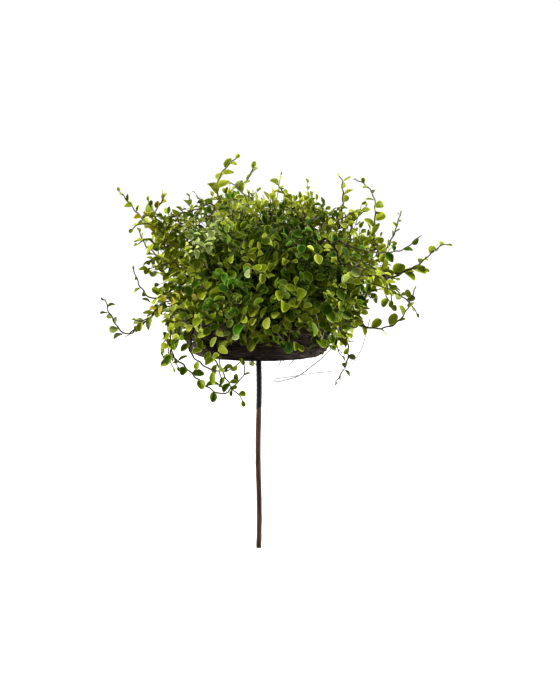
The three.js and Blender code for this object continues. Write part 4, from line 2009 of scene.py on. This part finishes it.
    def spurs_of(self, shoot: Shoot) -> list[Shoot]:
        """Grows the short spurs of a stem or twig, left and right in turn.

        Args:
            shoot: The stem or twig.

        Returns:
            The spurs that fit.
        """
        spurs = []
        count = max(1, round(shoot.path.length / self.spur_spacing))
        for k in range(1, count + 1):
            keys = (*shoot.keys, k)
            share = 0.97 * k / count
            root, along = shoot.path.at(share), shoot.path.heading(share)
            aside = unit(np.cross(self.face_at(root, 0.0, *keys, Draw.SPUR), along))
            side = alternate(k) * (0.2 if k == count else 1.0)
            aim = unit(self.forward * along + side * aside + wobble(0.7, *keys, Draw.SPUR))
            end = unit(aim + (wobble(self.sway, *keys, Draw.BEND) + self.rise * UP))
            full = spread_around(self.spur_length, 0.4, *keys, Draw.LENGTH)
            for cut in self.cuts[:3]:
                path = bowed(root, aim, end, full * cut, 8)
                if self.fits(path, shoot.habit, 1.06):
                    spurs.append(Shoot(path, self.spur_radii, keys, shoot.habit, Order.SPUR, shoot.stem))
                    break
        return spurs

    def sprays_over_rim(self, stems: dict[str, Shoot]) -> list[Shoot]:
        """Leads short shoots over the basket's rim, all the way round.

        Args:
            stems: The stems by name.

        Returns:
            The shoots that fit.
        """
        sprays = []
        for k in range(self.rim_sprays):
            keys = (FirstKey.RIM_SPRAY + k, 0)
            out = level_aim(FULL_TURN * (k + 0.7 * chance(*keys, Draw.TURN)) / self.rim_sprays)
            start = out * between((70.0, 80.0), *keys, Draw.BEND)
            start = start + UP * between((296.0, 312.0), *keys, Draw.SIZE)
            name, root = nearest_stem(stems, start)
            low = self.crown.skirt(out * 100.0) + between((3.0, 20.0), *keys, Draw.LENGTH)
            slant = between((-self.spray_slant, self.spray_slant), *keys, Draw.TWIST)
            over = turned(out, UP, 0.3 * slant) * between((98.0, 106.0), *keys, Draw.FACE)
            end = turned(out, UP, slant) * between((97.0, 104.0), *keys, Draw.CUP)
            over, end = over + UP * between((292.0, 304.0), *keys, Draw.AXIS), end + UP * low
            path = bezier((root, start, over, end), 16)
            if self.fits(path, Habit.HANGING, 1.3):
                sprays.append(Shoot(path, self.spray_radii, keys, Habit.HANGING, Order.RIM_SPRAY, name))
        return sprays

    def sprays_to_top(self, stems: dict[str, Shoot]) -> list[Shoot]:
        """Leads shoots up from the stems to close the middle of the crown's top.

        Args:
            stems: The stems by name.

        Returns:
            The shoots that fit.
        """
        sprays = []
        for k in range(self.top_sprays):
            keys = (FirstKey.TOP_SPRAY + k, 0)
            reach = self.top_reach * math.sqrt((k + 0.5) / self.top_sprays)
            out = level_aim(GOLDEN_ANGLE * k)
            middle = np.array((self.crown.x, self.crown.y, self.crown.z))
            start = middle + 0.6 * reach * out - self.top_drop * UP
            name, root = nearest_stem(stems, start)
            top = between((0.66, 0.84), *keys, Draw.LENGTH) * self.crown.height_above
            end = middle + reach * out + top * UP
            path = bezier((root, start + 0.5 * (end - start) + wobble(24.0, *keys, Draw.BEND), end), 14)
            if self.fits(path, Habit.UPRIGHT, 1.0):
                sprays.append(Shoot(path, self.twigs.radii, keys, Habit.UPRIGHT, Order.TWIG, name))
        return sprays

    def plan_runners(self, stems: dict[str, Shoot]) -> list[Shoot]:
        """Leads the runners from their stems past their points.

        Args:
            stems: The stems by name.

        Returns:
            The runners.
        """
        runners = []
        for number, route in enumerate(RUNNERS):
            keys = (FirstKey.RUNNER + number, 0)
            start = np.array(route.points[0], dtype=float)
            root = stems[route.stem].path.nearest(start)
            is_near = np.linalg.norm(root - start) <= 4.0
            knots = route.points if is_near else (tuple(root), *route.points)
            radii = self.spray_radii if route.fine else self.runner_radii
            runners.append(route.runner(self.kinked(spline(knots), *keys), radii, keys))
        return runners

    def tint_of(self, shoot: Shoot, point: Array, *keys: int) -> int:
        """Deals a tint to a spray: older, darker greens inside and half way up the front, which also paint
        the shade there, and fresher ones outside, which also paint the light on the lit flanks and top.

        Args:
            shoot: The shoot that the spray is on.
            point: Where it stands.
            keys: What names the draw.

        Returns:
            The tint's number.
        """
        if shoot.tint:
            return TINTS.index(shoot.tint)
        weights = RUNNER_TINTS if point[2] > self.crown.front_skirt_z else LOW_RUNNER_TINTS
        if not shoot.is_runner:
            out = unit(point - (self.crown.x, self.crown.y, point[2]))
            # Painted shade and real age: leaves half way up get older, darker tints, and leaves higher up get
            # fresher, lighter ones.
            rise = (point[2] - self.old_z) / self.old_shaded_span
            # Painted light: the flanks and back, which face the lamps, get fresher tints, and the front,
            # which faces away from them, gets darker ones.
            flank = 0.9 - max(0.0, -out[1]) ** 2
            # Here fresh stands both for fresh growth and for painted light.
            fresh = max(flank, 0.7 * rise, -0.15 * rise)
            limit = between((0.55, 0.95), *keys, Draw.STALK) - 0.25 * max(0.0, flank)
            is_outside = self.crown.depth(point) > limit
            # Inner leaves get the darkest tints as painted shade, except on the lit flanks.
            weights = GROWN_HALF_SHADE_TINTS if is_outside or flank > 0.6 else INNER_SHADE_TINTS
            if is_outside and rise < -0.4:
                weights = LOW_TINTS
            if is_outside and chance(*keys, Draw.CUP) < fresh:
                weights = FRESH_AND_LIT_TINTS
        left = chance(*keys, Draw.TINT) * sum(weights.values())
        for tint, weight in weights.items():
            left -= weight
            if left < 0.0:
                return TINTS.index(tint)
        return TINTS.index(Tint.OLIVE)

    def leaf_length(self, shoot: Shoot, share: float, *keys: int) -> float:
        """Sizes a leaf: large low down and over the rim, smaller at the top and towards a tip.

        Args:
            shoot: The shoot that it grows on.
            share: How far along the shoot it grows.
            keys: What names the draw.

        Returns:
            Its length.
        """
        if shoot.is_runner:
            full = shoot.leaf * (1.0 - 0.5 * share**6)
        else:
            height = np.clip((shoot.path.at(share)[2] - 350.0) / 70.0, 0.0, 1.0)
            full = shoot.leaf * (1.0 - 0.3 * share**1.6) * (1.0 - 0.08 * height)
            full *= 1.12 if shoot.habit is Habit.HANGING else 1.0
        return spread_around(full, 0.28, *keys, Draw.SIZE)

    def leaf_outline(self, shoot: Shoot, point: Array, *keys: int) -> Outline:
        """Picks a leaf's outline: rounder low down, narrower at the top and on runners.

        Args:
            shoot: The shoot that it grows on.
            point: Where it grows.
            keys: What names the draw.

        Returns:
            The outline.
        """
        height = min(1.0, max(0.0, (point[2] - 340.0) / 70.0))
        narrow = 0.16 if shoot.is_runner else 0.06 + 0.2 * height
        round_one = 0.1 if shoot.is_runner else 0.24 * (1.0 - 0.8 * height)
        draw = chance(*keys, Draw.KIND)
        if draw < narrow:
            return Outline.NARROW
        if draw < narrow + round_one:
            return Outline.ROUND
        return Outline.ELLIPTIC if chance(*keys, Draw.KIND, 1) < 0.6 else Outline.OVATE

    def add_leaf(self, shoot: Shoot, k: int, count: int, tint: int, spacing: Spacing) -> None:
        """Adds a leaf and its stalk to a shoot where there is room.

        Args:
            shoot: The shoot.
            k: The leaf's number along the shoot, from 1.
            count: How many leaves the shoot has.
            tint: The spray's tint.
            spacing: The places that are taken.
        """
        keys = (*shoot.keys, k)
        share = 0.985 * k / count
        node, along = shoot.path.at(share), shoot.path.heading(share)
        face = self.face_at(node, 1.0 if shoot.is_runner else 0.4, *keys)
        aside = unit(np.cross(face, along))
        side = alternate(k) * (0.15 if k == count else 1.0)
        ahead = self.runner_forward if shoot.is_runner else self.forward
        aim = unit(ahead * along + side * aside + 0.25 * face + wobble(0.5, *keys, Draw.AXIS))
        length = self.leaf_length(shoot, share, *keys)
        stalk = length * between((0.04, 0.14), *keys, Draw.STALK)
        root = node + aim * stalk
        axis = unit(aim + wobble(0.5, *keys, Draw.TURN) - 0.12 * UP)
        middle = root + axis * length * 0.55
        tip = root + axis * length
        if not all(self.is_clear(p, 1.0) for p in (root, middle, tip)):
            return
        if not shoot.is_runner and tip[2] < self.crown.skirt(tip) - 5.0:
            return
        if not spacing.take(middle, self.leaf_gap * length):
            return
        self.leaves.append(
            Leaf(
                stem=shoot.stem,
                root=root,
                axis=axis,
                face=face,
                length=length,
                outline=self.leaf_outline(shoot, node, *keys),
                cup=between((0.03, 0.2), *keys, Draw.CUP),
                fold=between((0.0, 0.14), *keys, Draw.BEND),
                curl=between((-0.1, 0.45), *keys, Draw.LENGTH),
                twist=between((-0.2, 0.2), *keys, Draw.TWIST),
                tint=tint,
            )
        )
        bow = bezier((node, node + aim * stalk * 0.6 + 0.3 * UP, root + axis * length * 0.04), 3)
        radii = (self.stalk_radius, 0.75 * self.stalk_radius)
        order = Order.RUNNER if shoot.is_runner else Order.SPUR
        self.stalks.append(Shoot(bow, radii, keys, shoot.habit, order, shoot.stem))

    def leaf_out(self, shoot: Shoot, spacing: Spacing) -> None:
        """Sets leaves along a shoot, from its tip down, all in its spray's tint or one near it.

        Args:
            shoot: The shoot.
            spacing: The places that are taken.
        """
        gaps = {Order.RUNNER: shoot.gap, Order.SPUR: self.leaf_spacing}
        count = max(1, round(shoot.path.length / gaps.get(shoot.order, self.spur_spacing)))
        spray = self.tint_of(shoot, shoot.path.at(0.6), *shoot.keys)
        for k in range(count, 0, -1):
            is_own = shoot.order not in gaps
            if shoot.is_runner:
                is_own = chance(*shoot.keys, k, Draw.TINT) < self.own_tints
            own = self.tint_of(shoot, shoot.path.at(k / count), *shoot.keys, k)
            self.add_leaf(shoot, k, count, own if is_own else spray, spacing)

    def grow(self) -> None:
        """Grows the whole vine, outermost shoots first."""
        stems, ends = self.plan_stems()
        runners = [*ends, *self.plan_runners(stems)]
        twigs = [twig for stem in stems.values() for twig in self.branches_of(stem, self.twigs)]
        twigs += [side for twig in twigs for side in self.branches_of(twig, self.side_twigs)]
        twigs += [*self.sprays_over_rim(stems), *self.sprays_to_top(stems)]
        runners += self.tips_of(twigs)
        spurs = [spur for shoot in (*stems.values(), *twigs) for spur in self.spurs_of(shoot)]
        spacing = Spacing(9.0)
        for shoot in (*runners, *spurs, *twigs, *stems.values()):
            self.leaf_out(shoot, spacing)
        self.shoots = [*stems.values(), *twigs, *spurs, *runners]
        counts = (len(twigs), len(spurs), len(runners), len(self.leaves))
        LOG.info("vine: %d twigs, %d spurs, %d runners, %d leaves", *counts)

    def build_boughs(self, bark: Material) -> Piece:
        """Models the foot of each stem, sunk in the peat, with knobbly bark.

        Args:
            bark: Old bark.

        Returns:
            The boughs.
        """
        mesh = ArrayMesh("boughs")
        for stem in (shoot for shoot in self.shoots if shoot.order is Order.STEM):
            share = self.bough_length / stem.path.length
            lower = stem.path.part(0.0, share, 8).points
            foot = lower[0] - self.sunk * UP
            mesh.add_tube(Path(np.vstack((foot, lower))), self.bough_radii, self.bough_tube)
        return mesh.build([bark])

    def build_twigs(self, names: Sequence[str], barks: Sequence[Material]) -> Piece:
        """Models some stems with their twigs, spurs, runners and leaf stalks.

        Args:
            names: The stems' names, of which the first ends the piece's name.
            barks: The barks in the order of their slots.

        Returns:
            The twigs.
        """
        mesh = ArrayMesh(f"twigs_{names[0]}")
        for shoot in (shoot for shoot in self.shoots if shoot.stem in names):
            path = shoot.path
            if shoot.order is Order.STEM:
                path = path.part((self.bough_length - 0.5) / path.length, 1.0, 64)
            mesh.add_tube(path, shoot.radii, self.tubes[shoot.order], shoot.bark())
        for stalk in (stalk for stalk in self.stalks if stalk.stem in names):
            mesh.add_tube(stalk.path, stalk.radii, self.stalk_tube, stalk.bark())
        return mesh.build(barks)

    def build_leaves(self, names: Sequence[str], materials: Sequence[Material]) -> Piece:
        """Models the leaves of some stems.

        Args:
            names: The stems' names, of which the first ends the piece's name.
            materials: The three materials of each tint, tint after tint.

        Returns:
            The leaves.
        """
        mesh = ArrayMesh(f"leaves_{names[0]}")
        LeafShape().add_all([leaf for leaf in self.leaves if leaf.stem in names], mesh)
        return mesh.build(materials)

    def build_loose_runner(self) -> Piece:
        """Models the bare runner that hangs in a loop under the basket, and the cut ends by it.

        Returns:
            The runner.
        """
        mesh = ArrayMesh("loose_runner")
        mesh.add_tube(spline(LOOSE_RUNNER, 12), (0.72, 0.7), self.loose_tube)
        for points in LOOSE_ENDS:
            mesh.add_tube(spline(points, 6), (0.72, 0.5), self.loose_tube)
        return mesh.build([BARE_WIRY.material()])

    def dress(self) -> None:
        """Builds each piece of the vine and ties it to the frame."""
        names = [name for tier in TIERS for name in tier.names()]
        barks = [bark.material() for bark in (OLD_BARK, YOUNG_BARK, RUNNER_BARK, PALE_BARK)]
        enlist(self.build_boughs(barks[Bark.OLD]), "stem", *(f"stem_{name}" for name in names))
        materials = [material for tint in TINTS for material in tint.value.materials()]
        for start in range(0, len(names), self.stems_a_piece):
            group = names[start : start + self.stems_a_piece]
            masses = [f"foliage_{name}" for name in group]
            enlist(self.build_twigs(group, barks), "stem", *masses)
            enlist(self.build_leaves(group, materials), "leaf", *masses)
        enlist(self.build_loose_runner(), "stem")


# The studio


@dataclass(frozen=True)
class Lamp:
    """A round soft light: its place and size in metres, and its power in watts."""

    name: str
    place: Point
    size: float
    power: float


@dataclass
class Studio:
    """A plain pale floor, soft light and the camera, in metres."""

    floor_radius: float = 40.0
    floor_sides: int = 96
    floor_tone: float = 0.5
    floor_roughness: float = 0.9
    floor_glow: float = 0.85
    backdrop: float = 1.05
    dome_stops: tuple[Span, ...] = ((0.0, 0.1), (0.5, 0.15), (0.75, 0.25), (1.0, 0.78))
    lamps: tuple[Lamp, ...] = (
        Lamp("key", (-0.9, -1.6, 2.0), 1.2, 3.0),
        Lamp("back", (0.2, 2.2, 1.7), 2.2, 27.0),
        Lamp("left", (-2.3, -0.1, 0.9), 1.6, 128.0),
        Lamp("right", (2.3, -0.1, 0.9), 1.6, 138.0),
    )
    lit: Point = (0.0, 0.0, 0.33)
    target: Point = (0.0258, 0.0, 0.2424)
    distance: float = 2.0
    elevation: float = 7.0
    lens: float = 85.714
    sensor: float = 36.0
    clip_end: float = 100.0

    def lay_floor(self) -> None:
        """Lays a pale glowing table, which sends no light back up at the plant."""
        bpy.ops.object.select_all(action="DESELECT")
        bpy.ops.mesh.primitive_circle_add(
            vertices=self.floor_sides,
            radius=self.floor_radius,
            fill_type="NGON",
        )
        floor = named_primitive("pale_floor")
        finish = Finish("pale_floor", 0.0)
        finish.set({"Base Color": grey(self.floor_tone), "Roughness": self.floor_roughness})
        finish.set({"Emission Color": grey(1.0), "Emission Strength": self.floor_glow})
        floor.data.materials.append(finish.material)
        floor.visible_diffuse = False
        floor.visible_glossy = False

    def hang_dome(self) -> None:
        """Hangs a soft dome of light, bright overhead, before a white backdrop."""
        world = bpy.data.worlds.new("light_dome")
        bpy.context.scene.world = world
        world.use_nodes = True
        nodes = NodeTree(world.node_tree)
        dome = world.node_tree.nodes["Background"]
        backdrop = nodes.add("Background", {"Color": grey(1.0), "Strength": self.backdrop})
        height = nodes.add("SeparateXYZ")
        nodes.join(nodes.add("TexCoord").outputs["Generated"], height.inputs["Vector"])
        share = nodes.add("MapRange", {"From Min": -1.0})
        nodes.join(height.outputs["Z"], share.inputs["Value"])
        stops = tuple((place, grey(level)) for place, level in self.dome_stops)
        nodes.join(nodes.add_ramp(share.outputs["Result"], stops), dome.inputs["Color"])
        seen = nodes.add("MixShader")
        nodes.join(nodes.add("LightPath").outputs["Is Camera Ray"], seen.inputs[0])
        nodes.join(dome.outputs["Background"], seen.inputs[1])
        nodes.join(backdrop.outputs["Background"], seen.inputs[2])
        nodes.join(seen.outputs["Shader"], world.node_tree.nodes["World Output"].inputs["Surface"])

    def light(self) -> None:
        """Sets a soft key in front on the left, and broad lights behind and at both sides of the plant."""
        for plan in self.lamps:
            bpy.ops.object.light_add(type="AREA", location=plan.place)
            lamp = bpy.context.object
            lamp.name = f"{plan.name}_light"
            lamp.data.shape = "DISK"
            lamp.data.size = plan.size
            lamp.data.energy = plan.power
            aim = Vector(self.lit) - Vector(plan.place)
            lamp.rotation_euler = aim.to_track_quat("-Z", "Y").to_euler()

    def set_camera(self) -> None:
        """Sets the camera at the photograph's viewing angle."""
        tilt = math.radians(self.elevation)
        back = Vector((0.0, -math.cos(tilt), math.sin(tilt))) * self.distance
        bpy.ops.object.camera_add(
            location=Vector(self.target) + back,
            rotation=(math.pi / 2.0 - tilt, 0.0, 0.0),
        )
        camera = bpy.context.object
        camera.data.lens = self.lens
        camera.data.sensor_width = self.sensor
        camera.data.clip_end = self.clip_end
        bpy.context.scene.camera = camera

    def build(self) -> None:
        """Sets up the whole studio."""
        self.set_camera()
        self.lay_floor()
        self.hang_dome()
        self.light()
        bpy.context.scene.view_settings.view_transform = "Standard"


def main() -> None:
    """Builds the plant's pieces in order, then the studio."""
    logging.basicConfig(level=logging.INFO, format="%(name)s %(message)s")
    for part in (Stake(), NeckWrap(), Basket(), Fill()):
        part.dress(part.build())
    vine = Vine()
    vine.grow()
    vine.dress()
    Studio().build()


if __name__ == "__main__":
    main()
